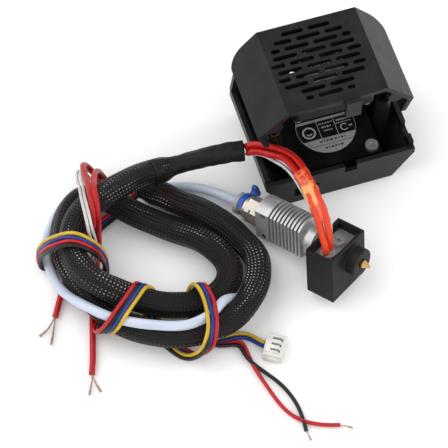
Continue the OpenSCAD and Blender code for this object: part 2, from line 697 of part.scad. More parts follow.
module blower_screws() {
    color(steel)
        for (p = [[16.5, -16.5], [-16.5, 16.5], [16.5, 16.5]])
            translate([p[0], blower_y + p[1], 0]) {
                translate([0, 0, 0.6])
                    cylinder(h = blower_top_z - 0.6, r = 1.5);
                translate([0, 0, blower_top_z])
                    difference() {
                        cylinder(h = 1.6, r = 2.7);
                        translate([0, 0, 0.6])
                            cylinder(h = 1.1, r = 1.2, $fn = 6);
                    }
            }
}

// ---- Hotend ----

// Push-in tube fitting with a hexagon and a threaded stem
module tube_fitting() {
    color(steel)
        at_hotend()
            difference() {
                union() {
                    rod_x(fit_x, fit_hex_x + 0.1, 4.9);
                    hex_x(fit_hex_x, sink_x, fitting_af);
                    rod_x(sink_x - 0.1, stem_end_x, 2.95);
                }
                rod_x(fit_x - 1, 9.5, 3.45);
                rod_x(9, stem_end_x + 1, 2.1);
                translate([7.6, -3, 3.1])
                    rotate([90, 0, 0])
                        cylinder(h = 4, r = 0.5);
            }
}

// Collet ring that is pressed in to release the tube
module fitting_collet() {
    color([0.8, 0.8, 0.82])
        at_hotend()
            difference() {
                union() {
                    rod_x(-1, 0.7, 4.7);
                    rod_x(0.6, 8.8, 3.4);
                }
                rod_x(-2, 10, 2.08);
            }
}

// Clip that keeps the collet out; it slides off sideways
module collet_clip() {
    color(blue_c)
        at_hotend()
            translate([1.4, 0, 0])
                rotate([19.9, 0, 0])
                    rotate([90, 0, 90])
                        linear_extrude(1.85) {
                            difference() {
                                union() {
                                    circle(5.4);
                                    translate([4.2, -1.7])
                                        square([3, 3.4]);
                                }
                                circle(4.3);
                                translate([-8, -4.3])
                                    square([8, 8.6]);
                            }
                            translate([6.8, -2.4])
                                square([2.2, 4.8]);
                            for (m = [-1, 1])
                                translate([7.9, m * 2.4])
                                    circle(1.1);
                        }
}

// Round section with one flat on its near side
module sink_section(r) {
    intersection() {
        circle(r, $fn = 96);
        translate([-20, flat_s])
            square([40, 40]);
    }
}

// Extrudes a section in the hotend's s-u plane along its axis.
module along_axis(x0, x1) {
    translate([x0, 0, 0])
        rotate([90, 0, 90])
            linear_extrude(x1 - x0)
                children();
}

// Round section with its flat on the hotend's near side
module sink_slice(r) {
    intersection() {
        circle(r, $fn = 96);
        translate([flat_s, -20])
            square([40, 40]);
    }
}

// Finned heatsink with a flat that carries two screw holes
module heatsink() {
    pitch = (collar_x - fins_x) / fin_gaps;
    color(alloy)
        at_hotend()
            difference() {
                union() {
                    along_axis(sink_x, fins_x)
                        sink_slice(sink_r);
                    rod_x(fins_x - 0.1, collar_x + 0.1, core_r);
                    for (i = [0 : fin_gaps - 2])
                        along_axis(fins_x + pitch * (i + 0.5), fins_x + pitch * (i + 1))
                            sink_slice(sink_r);
                    along_axis(collar_x, sink_end_x)
                        sink_slice(6.3);
                }
                rod_x(sink_x - 1, stem_end_x, 3);
                rod_x(sink_x, sink_end_x, 2.15);
                rod_x(27, sink_end_x + 1, 3);
                for (u = [-5.5, 5.5])
                    translate([15.5, flat_s - 1, u])
                        rotate([-90, 0, 0])
                            cylinder(h = u > 0 ? 6 : 6.2, r = 1.25);
            }
}

// Grub screw in the lower of the two flat holes
module heatsink_grub_screw() {
    color([0.2, 0.2, 0.21])
        at_hotend()
            translate([15.5, flat_s + 0.5, -5.5])
                rotate([-90, 0, 0])
                    difference() {
                        cylinder(h = 4, r = 1.2);
                        translate([0, 0, -0.1])
                            cylinder(h = 1.4, r = 0.7, $fn = 6);
                    }
}

// Threaded throat between heatsink and block
module heat_break() {
    color(steel)
        at_hotend()
            difference() {
                union() {
                    rod_x(27.2, sink_end_x, 2.95);
                    rod_x(sink_end_x - 0.1, 42, 1.6);
                    rod_x(41.9, 48, 2.95);
                }
                rod_x(26, 36, 2.1);
                rod_x(35, 49, 1);
            }
}

module heater_block() {
    color([0.7, 0.7, 0.71])
        at_hotend()
            difference() {
                span([block_x, block_s0, block_u0], [block_x + block_l, block_s1, block_u1]);
                rod_x(block_x - 1, block_x + block_l + 1, 3);
                translate([cartridge_x, cartridge_s, block_u0 - 1])
                    cylinder(h = 30, r = 3.03);
                translate([sensor_x, sensor_s, -2])
                    cylinder(h = 20, r = 0.95);
                translate([49, 0, 3.4])
                    cylinder(h = 5, r = 1.3);
                translate([cartridge_x, block_s0 - 1, -5])
                    rotate([-90, 0, 0])
                        cylinder(h = 3, r = 1.25);
            }
}

module heater_cartridge() {
    color(steel)
        at_hotend()
            translate([cartridge_x, cartridge_s, block_u0 + 0.2])
                cylinder(h = 19.2, r = 3);
}

// Crimped ferrule where the heater wires enter the cartridge
module cartridge_collar() {
    color([0.5, 0.5, 0.5])
        at_hotend()
            for (s = [-1.5, 1.5])
                translate([cartridge_x, cartridge_s + s, block_u0 + 19.4])
                    cylinder(h = 0.7, r = 1.3);
}

// Glass bead sensor in its hole
module thermistor() {
    color([0.85, 0.75, 0.6])
        at_hotend()
            translate([sensor_x, sensor_s, -1.9])
                cylinder(h = 7, r = 0.9);
}

// Button-head screw that holds the sensor wires
module thermistor_screw() {
    color(steel)
        at_hotend()
            translate([49, 0, 3.5]) {
                cylinder(h = 1.6, r = 1.25);
                difference() {
                    translate([0, 0, 1.5])
                        cylinder(h = 1.6, r = 2.75);
                    translate([0, 0, 2])
                        cylinder(h = 2, r = 1.1, $fn = 6);
                }
            }
}

// Grub screw that locks the cartridge
module heater_grub_screw() {
    color([0.2, 0.2, 0.21])
        at_hotend()
            translate([cartridge_x, block_s0, -5])
                rotate([-90, 0, 0])
                    cylinder(h = 1.05, r = 1.2);
}

// Silicone sock: open on top, slotted for the heat break, with a nozzle boss
module silicone_sock() {
    x0 = block_x - sock_wall;
    x1 = block_x + block_l + sock_wall;
    boss_r = 6;
    color(black)
        at_hotend()
            difference() {
                union() {
                    span(
                        [x0, block_s0 - sock_wall, block_u0 - sock_wall],
                        [x1, block_s1 + sock_wall, sock_u1]
                    );
                    rod_x(x1 - 0.1, boss_end_x, boss_r);
                }
                span([block_x, block_s0, block_u0], [block_x + block_l, block_s1, sock_u1 + 1]);
                span([x0 - 1, -4.5, -4.5], [block_x + 0.1, 4.5, sock_u1 + 1]);
                rod_x(block_x + block_l - 0.1, boss_end_x - 1.4, 3.95);
                rod_x(boss_end_x - 2, boss_end_x + 1, 1.85);
            }
}

module nozzle() {
    color(brass_c)
        at_hotend()
            difference() {
                union() {
                    rod_x(48, block_x + block_l + 0.1, 2.95);
                    hex_x(block_x + block_l, 58.8, 6);
                    rod_x(58.7, 61.2, 1.7);
                    cone_x(61.1, tip_x, 1.7, 0.5);
                }
                rod_x(47, 61.5, 1);
                rod_x(61, tip_x + 1, 0.2);
            }
}

// ---- Harness ----

module entry_heatshrink() {
    color(black)
        cord(shrink_route, 8, 1, 12);
}

module braided_sleeve() {
    color(black)
        cord(sleeve_route, sleeve_d, 1, 12);
}

module ptfe_tube() {
    color(white_c)
        cord(tube_route, tube_d, 2, 8);
}

module heater_wire_a() {
    color(red_c)
        cord(heater_a_route, heater_wire_d, 2, 8);
}

module heater_wire_b() {
    color(red_c)
        cord(heater_b_route, heater_wire_d, 2, 8);
}

module sensor_wire_a() {
    color(white_c)
        cord(sensor_a_route, 1.2, 2, 6);
}

module sensor_wire_b() {
    color(white_c)
        cord(sensor_b_route, 1.2, 2, 6);
}

// Amber high-temperature tape round the heater and sensor wires
module wire_tape() {
    color(amber_c)
        cord(tape_route, 7, 2, 12);
}

module yellow_wire() {
    color(yellow_c)
        cord(yellow_route, wire_d, 1, 8);
}

module blue_wire() {
    color(blue_c)
        cord(blue_route, wire_d, 1, 8);
}

module red_wire() {
    color(red_c)
        cord(red_route, wire_d, 1, 8);
}

module black_wire() {
    color(black)
        cord(black_route, wire_d, 1, 8);
}

module sensor_tail_a() {
    color(white_c)
        cord(white_a_route, 1.3, 1, 8);
}

module sensor_tail_b() {
    color(white_c)
        cord(white_b_route, 1.3, 1, 8);
}

module supply_lead_a() {
    color(red_c)
        cord(supply_a_route, supply_d, 2, 8);
}

module supply_lead_b() {
    color(red_c)
        cord(supply_b_route, supply_d, 2, 8);
}

// Places children at the plug: +X out of the wire end
module at_connector() {
    translate([-48.6, -116.2, 0])
        rotate([0, 0, -32])
            children();
}

// White four-way plug with a latch side and contact cavities
module connector_housing() {
    color(white_c)
        at_connector()
            difference() {
                union() {
                    span([-4, -4.95, 0], [4, 4.95, 5.6]);
                    span([-4, -3.8, 5.5], [2, 3.8, 6.4]);
                    for (s = [-5.35, 4.55])
                        span([-4, s, 1.2], [3, s + 0.8, 3]);
                }
                for (i = [0 : 2])
                    translate([0, (i - 1) * 2.5, 0])
                        span([-5, -0.9, 1.6], [5, 0.9, 4]);
                for (i = [0 : 2])
                    translate([0, (i - 1) * 2.5, 0])
                        span([-1.5, -0.5, 3.9], [2.5, 0.5, 7]);
            }
}

// Crimped contacts inside the plug
module connector_contacts() {
    color(steel)
        at_connector()
            for (i = [0 : 2])
                translate([0, (i - 1) * 2.5, 0])
                    difference() {
                        span([-3, -0.85, 1.65], [3.4, 0.85, 3.6]);
                        span([-3.5, -0.5, 2], [4, 0.5, 3.2]);
                    }
}

// Bare strands at the free ends of the wires
module stripped_ends() {
    color([0.8, 0.55, 0.4]) {
        cord([[-128, -76, 1.5], [-131, -79.5, 1.2], [-133.5, -81, 1], [-136.5, -82.5, 1]], 1.2, 2, 6);
        cord([[-128, -76, 1.2], [-130, -81, 1], [-131.5, -84.5, 1], [-133, -87.5, 1]], 1.2, 2, 6);
        cord([[-121, -105, 1.5], [-121.8, -108, 1.2], [-123.5, -111, 1], [-124.5, -113.5, 1]], 1.2, 2, 6);
        cord([[-121, -105, 1.2], [-120.8, -108, 1], [-120.2, -111, 1], [-119.5, -113.5, 1]], 1.2, 2, 6);
        cord([[-48, -153.5, 1], [-47.8, -155.2, 1], [-47.6, -156.6, 0.9], [-47.4, -158, 0.8]], 1, 2, 6);
        cord([[-34.5, -155, 1], [-33, -155.8, 1], [-31.5, -156.8, 0.9], [-30, -157.8, 0.8]], 1, 2, 6);
    }
}

front_cover();
rear_housing();
threaded_inserts();
heatsink_fan_frame();
heatsink_fan_rotor();
heatsink_fan_label();
heatsink_fan_screws();
blower_case();
blower_lid();
blower_impeller();
blower_label();
blower_screws();
tube_fitting();
fitting_collet();
collet_clip();
heatsink();
heatsink_grub_screw();
heat_break();
heater_block();
heater_cartridge();
cartridge_collar();
thermistor();
thermistor_screw();
heater_grub_screw();
silicone_sock();
nozzle();
entry_heatshrink();
braided_sleeve();
ptfe_tube();
heater_wire_a();
heater_wire_b();
sensor_wire_a();
sensor_wire_b();
wire_tape();
yellow_wire();
blue_wire();
red_wire();
black_wire();
connector_housing();
connector_contacts();
sensor_tail_a();
sensor_tail_b();
supply_lead_a();
supply_lead_b();
stripped_ends();
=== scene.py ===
"""Visual model of the hotend assembly.

Materials for the CAD nodes, and detailed cords, tape, labels and strands.
"""

import math

import bpy
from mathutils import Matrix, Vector, noise


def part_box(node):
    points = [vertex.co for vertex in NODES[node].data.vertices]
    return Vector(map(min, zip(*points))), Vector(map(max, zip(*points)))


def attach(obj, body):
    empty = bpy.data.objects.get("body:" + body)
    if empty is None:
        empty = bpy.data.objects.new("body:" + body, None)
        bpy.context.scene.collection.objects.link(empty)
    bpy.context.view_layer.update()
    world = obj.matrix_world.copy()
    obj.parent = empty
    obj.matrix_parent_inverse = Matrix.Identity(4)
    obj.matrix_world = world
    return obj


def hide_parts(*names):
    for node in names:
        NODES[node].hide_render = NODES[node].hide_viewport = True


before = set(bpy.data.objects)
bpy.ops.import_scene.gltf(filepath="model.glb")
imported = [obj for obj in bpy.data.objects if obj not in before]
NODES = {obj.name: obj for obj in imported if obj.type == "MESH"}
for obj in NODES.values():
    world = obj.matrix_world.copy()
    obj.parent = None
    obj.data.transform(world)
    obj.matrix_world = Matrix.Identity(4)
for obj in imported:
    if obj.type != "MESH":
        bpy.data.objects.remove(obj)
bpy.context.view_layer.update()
MM = 0.001
ROOT = "shroud_and_hotend"

# ---- Camera ----

CAMERA_AT = Vector((-195.4, -514.2, 834.9)) * MM
CAMERA_TO = Vector((-50.4, -54.5, 0.0)) * MM
LENS_MM = 189.0


def make_camera():
    data = bpy.data.cameras.new("camera")
    data.lens = LENS_MM
    data.sensor_width = 36.0
    data.clip_end = 10.0
    cam = bpy.data.objects.new("camera", data)
    bpy.context.scene.collection.objects.link(cam)
    cam.location = CAMERA_AT
    cam.rotation_euler = (CAMERA_TO - CAMERA_AT).to_track_quat("-Z", "Y").to_euler()
    bpy.context.scene.camera = cam


make_camera()

# ---- Cord routes: the same points as in the CAD source, in millimetres ----

ROUTES = {
    "sleeve": [
        (-68, -31.5, 17), (-75, -33, 19), (-81, -34, 20), (-87.5, -36, 20.5), (-94, -38, 20.5),
        (-100.5, -40.5, 20.5), (-106, -43, 20.5), (-110.5, -47, 20.5), (-114, -52.5, 20.5),
        (-115.5, -58.5, 20.5),
        (-115, -66, 21), (-112.5, -71.5, 20.5), (-108.5, -76.5, 19.5), (-103, -80.5, 17), (-96, -83.5, 12.5),
        (-88.5, -87, 9), (-80, -90, 8.5), (-71, -91.5, 8), (-63, -89.5, 8), (-57, -84, 8),
        (-55, -77.5, 8), (-57, -71, 8), (-61, -64.5, 8), (-67, -59, 8), (-74, -53.5, 8),
        (-80.5, -48, 8), (-87, -41.5, 8), (-92, -35, 8), (-97, -31, 8), (-102.5, -29.5, 8),
        (-107.5, -31.5, 8), (-112, -36.5, 8), (-115, -43, 8), (-117, -50, 8), (-117, -58, 7.5),
        (-115.5, -67, 7.5), (-112.5, -76, 7.5), (-108.5, -84.5, 7.5), (-102, -92.5, 9), (-94.5, -98.5, 10.5),
        (-86, -103, 10.5), (-76, -104.5, 10.5), (-66.5, -104, 10), (-57.5, -100.5, 10.5),
        (-50.5, -94.5, 10.5),
        (-45.5, -87, 10.5), (-43.5, -78, 10), (-46, -70.5, 8), (-49.5, -62, 8), (-54.5, -55, 8),
        (-60, -49, 8), (-66.5, -43.5, 7.5), (-71.5, -37.5, 7.5), (-76, -34.8, 7.4), (-80, -32.5, 7.2),
    ],
    "tube": [
        (-26.3, -72.3, 12), (-30.4, -66.7, 10.6), (-35, -60.4, 8.9), (-39.7, -54.1, 7.3), (-43.2, -49.4, 6.1),
        (-48.5, -42.5, 4), (-53, -39, 4), (-57, -36, 3), (-61.5, -33.5, 2.5), (-67.5, -32, 2),
        (-74, -30.5, 2), (-79.5, -28, 2), (-85.5, -26, 2), (-91, -25, 2), (-96, -24, 2),
        (-101.5, -23.5, 2), (-107, -25, 2), (-112.5, -28.5, 2), (-117, -33.5, 2), (-121.5, -39.5, 2),
        (-124, -45.5, 2), (-124.5, -52.5, 2.5), (-124, -61, 4), (-122.5, -70.5, 8), (-118, -78.5, 12.5),
        (-113.5, -85.5, 15.5), (-108, -91, 16.5), (-102, -95, 17), (-95, -99, 18), (-88, -102, 18),
        (-80.5, -104, 18), (-73.5, -103, 18), (-67.5, -99.5, 16.5), (-62.5, -94, 13.5), (-54.5, -92, 4),
        (-51, -87, 2.5), (-48, -84, 2),
    ],
    "shrink": [
        (-36, -35.5, 21), (-42.5, -34.5, 21), (-49, -34, 20.5), (-55.5, -33, 19.5), (-61.5, -32, 18),
        (-68, -31.5, 17),
    ],
    "heater_a": [
        (-35, -37, 21), (-32, -38, 22.5), (-30, -41, 25), (-27, -45, 27.5), (-23.5, -48.5, 30),
        (-21.9, -54.5, 32.5), (-21.4, -62, 34.5), (-20.9, -68, 36), (-20.9, -75, 37), (-20.7, -81, 36.5),
        (-20.7, -85, 35), (-21, -89, 32.5), (-20.4, -92.6, 28.9), (-20.5, -93.5, 25.7),
    ],
    "heater_b": [
        (-35, -34.5, 22), (-32, -35.5, 24), (-29, -38.5, 26.5), (-25.5, -42.5, 29), (-21, -47.5, 31),
        (-18.9, -54, 33.5), (-18.4, -61.5, 35.5), (-17.9, -68, 37), (-17.9, -75, 38), (-17.7, -81, 37.5),
        (-17.7, -85, 36), (-18, -89, 33.5), (-18.1, -90.8, 28.4), (-18.2, -91.7, 25.1),
    ],
    "sensor_a": [
        (-35.5, -36.5, 19.5), (-32.5, -38, 20.5), (-29.5, -40.5, 22), (-27.5, -45, 24.5), (-24.5, -50.5, 27),
        (-22.9, -57, 30), (-22.4, -63.5, 32), (-21.9, -69.5, 33.5), (-21.4, -76, 34), (-20.7, -81, 33),
        (-20.2, -85, 31), (-18.5, -87.7, 25.4), (-18.6, -88.7, 21.8),
    ],
    "sensor_b": [
        (-35, -35.5, 20.5), (-32, -37, 21.5), (-29, -39.5, 23), (-26.5, -44.5, 25.5), (-23.5, -50, 28),
        (-21.4, -56.5, 30), (-20.9, -63, 32), (-20.4, -69.5, 33.5), (-19.9, -75.5, 34), (-19.7, -80.5, 33),
        (-18.7, -85, 31), (-17.5, -87, 25.2), (-17.7, -88.1, 21.5),
    ],
    "yellow": [
        (-52, -113, 3), (-54.5, -109, 1.5), (-56.5, -106, 1), (-61, -104.5, 1), (-67, -104.5, 1),
        (-73.5, -103.5, 1), (-77, -99.5, 1), (-77.5, -93, 1), (-76.5, -87.5, 1.5), (-75.5, -84, 4),
        (-74, -83, 9), (-72.5, -84, 13.5), (-71.5, -87.5, 16), (-71, -92.5, 16.5), (-71.5, -97.5, 18),
        (-72.5, -104, 20.5), (-74, -109.5, 21), (-76, -112.5, 19.5), (-77.5, -113.5, 15), (-79.5, -112.5, 10),
        (-81.5, -110.5, 5), (-84, -108, 2), (-87, -104, 1), (-88, -98, 1), (-89, -90.5, 1),
        (-87.5, -84.5, 1.5), (-87.5, -81.5, 4), (-87.5, -80.5, 9.5), (-89.5, -80.5, 14), (-92, -82.5, 18),
        (-95.5, -86, 18.5), (-99.5, -90, 19.5), (-103.5, -94, 20.5), (-106.5, -96, 17.5), (-108.5, -95, 12),
        (-110, -92, 6), (-109.5, -87.5, 2), (-109, -79.5, 1), (-107.5, -71.5, 1), (-104.5, -64.5, 1),
        (-102, -60.5, 3.5), (-101.5, -59.5, 10), (-103.5, -60, 18), (-106.5, -60, 24.5), (-110, -57.5, 27.5),
        (-114.5, -55, 28), (-119, -54, 26), (-123, -51, 20), (-125.5, -48, 12), (-127, -46.5, 5.5),
        (-127.5, -47, 1), (-121, -48.5, 1), (-114.5, -48.5, 1), (-107, -44, 1), (-101, -40, 1),
        (-93.5, -36.5, 1), (-86.5, -35, 2.5), (-81.5, -33.8, 6.2),
    ],
    "blue": [
        (-52.5, -114.5, 3), (-55, -111, 1.5), (-57.5, -107.5, 1), (-62, -106, 1), (-67.5, -106.5, 1),
        (-72.5, -105.5, 1), (-75, -100, 1), (-75.5, -93.5, 1), (-74.5, -88, 1.5), (-73.5, -84.5, 4),
        (-72, -83.5, 9), (-70.5, -84.5, 13.5), (-69.5, -88, 16), (-69, -93, 16.5), (-70, -98, 18.5),
        (-70.5, -104.5, 20), (-72.5, -110, 21), (-74, -113, 19.5), (-75.5, -114, 15), (-77.5, -113, 10),
        (-79.5, -111, 5), (-82, -108.5, 2), (-85, -104.5, 1), (-90, -97.5, 1), (-90.5, -89.5, 1),
        (-89.5, -84, 1.5), (-89, -81, 4.5), (-89, -79.5, 9.5), (-91, -79.5, 14.5), (-93.5, -81.5, 18.5),
        (-97, -85.5, 19.5), (-101, -89, 20), (-105, -93.5, 20.5), (-108, -95, 18), (-110.5, -94, 12),
        (-111.5, -91, 6), (-111.5, -87, 1.5), (-107.5, -81, 1), (-106.5, -73.5, 1), (-104, -66.5, 1),
        (-102, -62.5, 3.5), (-102, -61.5, 10), (-104, -61.5, 18), (-107, -61.5, 24.5), (-110.5, -59.5, 27.5),
        (-115, -57, 28), (-119.5, -55.5, 26), (-123.5, -53, 20), (-126, -50, 12), (-127.5, -48.5, 5.5),
        (-128, -49.5, 1), (-121.5, -51, 1), (-114.5, -50, 1), (-106.5, -45.5, 1), (-100.5, -41.5, 1),
        (-93.5, -38, 1), (-86.5, -36.5, 2.5), (-81.5, -34.5, 5.6),
    ],
    "red": [
        (-34.5, -155, 1), (-41.5, -153, 1), (-48.5, -149, 1), (-53.5, -142.5, 1), (-56, -133, 1),
        (-59, -121.5, 1), (-59.5, -114, 1), (-59.5, -109, 1), (-63.5, -107.5, 1), (-68.5, -108, 1),
        (-70.5, -105, 1), (-73.5, -100, 1), (-74, -93.5, 1), (-73, -88, 1.5), (-72, -85, 4),
        (-70.5, -84, 9), (-69, -85, 13.5), (-68, -88.5, 16), (-67.5, -93.5, 16.5), (-68, -98, 19),
        (-69, -105, 20), (-71, -110.5, 21), (-72.5, -113.5, 19), (-74, -114.5, 15), (-76, -113.5, 10),
        (-78, -111, 4.5), (-80.5, -108, 1.5), (-83.5, -103.5, 1), (-92.5, -95.5, 1), (-94, -88, 1),
        (-93, -82.5, 1.5), (-92.5, -79.5, 4.5), (-92.5, -78.5, 10), (-93.5, -78, 15), (-95.5, -80.5, 20),
        (-99.5, -84.5, 20.5), (-104, -88.5, 20.5), (-108.5, -92.5, 21), (-111.5, -94, 18), (-114, -93, 12.5),
        (-115, -90, 6), (-115, -86, 2), (-111.5, -82, 1), (-109.5, -74.5, 1.5), (-107, -67.5, 2),
        (-104, -63.5, 4), (-103, -63, 10.5), (-104.5, -63, 18), (-107.5, -63, 24.5), (-111, -61, 27.5),
        (-115.5, -58.5, 28), (-120, -57.5, 26), (-124, -54.5, 20), (-126.5, -51.5, 12), (-128, -50.5, 5.5),
        (-128, -51.5, 1), (-121.5, -52.5, 1), (-114.5, -51, 2), (-107, -45.5, 2.5), (-101, -40.5, 2.5),
        (-94, -37, 2), (-87.5, -36, 3.5), (-81.5, -33, 7.4),
    ],
    "black": [
        (-48, -153.5, 1), (-47, -142, 1), (-51, -130.5, 1), (-57, -122.5, 1), (-61, -116, 1.5),
        (-61, -110, 1.5), (-65, -109, 1.5), (-70.5, -108.5, 2), (-73.5, -105, 2.5), (-76, -100.5, 2.5),
        (-76.5, -93.5, 2), (-75.5, -88.5, 2), (-75, -85.5, 4.5), (-73, -84.5, 9), (-71.5, -85.5, 13),
        (-70.5, -88.5, 15.5), (-70, -93, 15.5), (-70.5, -98, 17), (-71.5, -104.5, 19.5),
        (-73.5, -110.5, 19.5),
        (-75.5, -114.5, 18.5), (-77, -115, 14.5), (-79, -114, 9.5), (-81.5, -112, 4.5), (-84.5, -109.5, 1.5),
        (-87.5, -105.5, 1), (-92, -97.5, 1), (-92.5, -89.5, 1), (-91.5, -83.5, 1.5), (-91, -80.5, 4.5),
        (-91, -79, 10), (-92.5, -79, 15), (-94.5, -81, 19.5), (-98.5, -85, 20), (-102.5, -89, 19.5),
        (-107, -93, 20), (-110, -94.5, 17.5), (-112, -93.5, 12), (-113.5, -90.5, 6), (-113, -86.5, 2),
        (-110.5, -83.5, 1), (-109, -76, 2), (-106, -69.5, 2), (-103.5, -65.5, 4), (-103, -64.5, 10.5),
        (-105, -65, 18), (-108, -65, 24.5), (-111.5, -62.5, 27.5), (-116, -60.5, 28), (-120.5, -59, 26),
        (-124.5, -56.5, 20), (-127, -53.5, 12), (-128, -52.5, 5.5), (-127.5, -53.5, 1), (-122, -54.5, 1),
        (-114.5, -52.5, 1), (-106.5, -47.5, 1), (-99.5, -42.5, 1), (-93, -39, 1), (-86.5, -38, 2),
        (-81.8, -34.8, 6.8),
    ],
    "white_a": [
        (-90.5, -34, 1), (-94, -25, 0.5), (-97, -18, 2), (-99.5, -16.5, 7), (-102.5, -19.5, 13),
        (-104, -25, 16.5), (-104.5, -33, 21), (-106, -41.5, 27.5), (-106.5, -49.5, 27.5), (-107, -55, 25),
        (-106.5, -56.5, 17), (-106, -56.5, 9), (-108, -57, 2.5), (-111, -61, 1), (-111.5, -66, 1),
        (-110, -72.5, 0.5), (-106.5, -78, 1),
    ],
    "white_b": [
        (-89, -33.5, 1), (-92, -24.5, 0.5), (-95, -17.5, 2.5), (-98, -16, 7), (-101, -19, 13),
        (-102, -24.5, 16.5), (-103, -32.5, 21), (-104.5, -41, 27.5), (-105, -49, 27.5), (-105.5, -54.5, 25),
        (-104.5, -56.5, 17), (-104.5, -56, 9), (-106, -57, 2.5), (-109, -60.5, 1), (-109.5, -66.5, 1),
        (-107, -72, 0.5), (-104, -77, 1),
    ],
    "supply_a": [
        (-91, -30.5, 1.5), (-94, -23, 4), (-95.5, -18, 6.5), (-98, -17, 11.5), (-100, -19.5, 16.5),
        (-100.5, -24.5, 19.5), (-101, -32, 23), (-102, -40, 28), (-103, -46.5, 26.5), (-103.5, -50.5, 22.5),
        (-105.5, -50.5, 14.5), (-108, -50.5, 7.5), (-111.5, -52.5, 2.5), (-115, -57, 1.5), (-120, -62, 1.5),
        (-123, -67, 1.5), (-125.5, -71.5, 1.5), (-128, -76, 1.5),
    ],
    "supply_b": [
        (-89, -30, 1.5), (-90.5, -22, 1.5), (-92.5, -20, 5.5), (-94, -21.5, 12), (-96.5, -25.5, 18.5),
        (-98.5, -32.5, 23), (-100, -39, 28), (-100.5, -45.5, 26.5), (-101.5, -49.5, 22), (-102, -50.5, 14),
        (-102.5, -51.5, 6.5), (-104, -54.5, 2), (-106.5, -61, 2), (-110, -68.5, 2.5), (-111.5, -74.5, 1.5),
        (-114.5, -82.5, 1.5), (-116.5, -90.5, 1.5), (-118.5, -98, 1.5), (-121, -105, 1.5),
    ],
    "tape": [
        (-20.1, -60, 34.2), (-19.6, -67, 36), (-19.4, -75, 36.8), (-19.1, -80.5, 36.2), (-19, -84.5, 34.8),
    ],
}


def smooth_line(points, steps):
    """A smooth line drawn along the route, which starts and ends at its first and last points."""
    p = [Vector(v) * MM for v in points]
    q = [2 * p[0] - p[1]] + p + [2 * p[-1] - p[-2]]
    line = []
    for i in range(len(p) - 1):
        a, b, c, d = q[i : i + 4]
        for j in range(steps):
            t = j / steps
            line.append(
                (
                    (1 - t) ** 3 * a
                    + (3 * t**3 - 6 * t * t + 4) * b
                    + (3 * t + 3 * t * t - 3 * t**3 + 1) * c
                    + t**3 * d
                )
                / 6
            )
    line.append(p[-1])
    return line


def resample(line, step):
    """The same line with points an even step apart."""
    out = [line[0].copy()]
    need = step
    for a, b in zip(line, line[1:]):
        span = (b - a).length
        while span > 0 and need <= span:
            out.append(a.lerp(b, need / span))
            need += step
        need -= span
    if (out[-1] - line[-1]).length > step * 0.4:
        out.append(line[-1].copy())
    else:
        out[-1] = line[-1].copy()
    return out


def line_length(line):
    return sum((b - a).length for a, b in zip(line, line[1:]))


def side_frames(line):
    """(tangent, side, other side) at each point, without twist."""
    frames = []
    side = None
    for i, p in enumerate(line):
        t = (line[min(i + 1, len(line) - 1)] - line[max(i - 1, 0)]).normalized()
        if side is None:
            side = Vector((0.1, 0.2, 1.0))
        side = (side - side.dot(t) * t).normalized()
        frames.append((t, side, t.cross(side)))
    return frames


def mesh_object(name, verts, faces, uvs=None, smooth=True):
    mesh = bpy.data.meshes.new(name)
    mesh.from_pydata([tuple(v) for v in verts], [], faces)
    if uvs is not None:
        layer = mesh.uv_layers.new(name="UVMap")
        for poly in mesh.polygons:
            for k, li in enumerate(poly.loop_indices):
                layer.data[li].uv = uvs[poly.index][k]
    mesh.polygons.foreach_set("use_smooth", [smooth] * len(mesh.polygons))
    mesh.update()
    obj = bpy.data.objects.new(name, mesh)
    bpy.context.scene.collection.objects.link(obj)
    return obj


def tube(name, line, sides, radius, cap=True):
    """A tube along a line. radius is a function of (distance along, angle).

    UV is (distance along in mm, turn).
    """
    frames = side_frames(line)
    verts = []
    along = [0.0]
    for a, b in zip(line, line[1:]):
        along.append(along[-1] + (b - a).length)
    for i, (p, (_, n, b)) in enumerate(zip(line, frames)):
        for j in range(sides):
            a = 2 * math.pi * j / sides
            r = radius(along[i], a)
            verts.append(p + r * (math.cos(a) * n + math.sin(a) * b))
    faces, uvs = [], []
    for i in range(len(line) - 1):
        for j in range(sides):
            k = (j + 1) % sides
            faces.append((i * sides + j, i * sides + k, (i + 1) * sides + k, (i + 1) * sides + j))
            u0, u1 = along[i] / MM, along[i + 1] / MM
            v0, v1 = j / sides, (j + 1) / sides
            uvs.append(((u0, v0), (u0, v1), (u1, v1), (u1, v0)))
    if cap:
        for ring, flip in ((0, True), (len(line) - 1, False)):
            loop = [ring * sides + j for j in range(sides)]
            if flip:
                loop.reverse()
            faces.append(tuple(loop))
            uvs.append([(along[ring] / MM, 0.5)] * sides)
    return mesh_object(name, verts, faces, uvs)


# ---- Materials ----


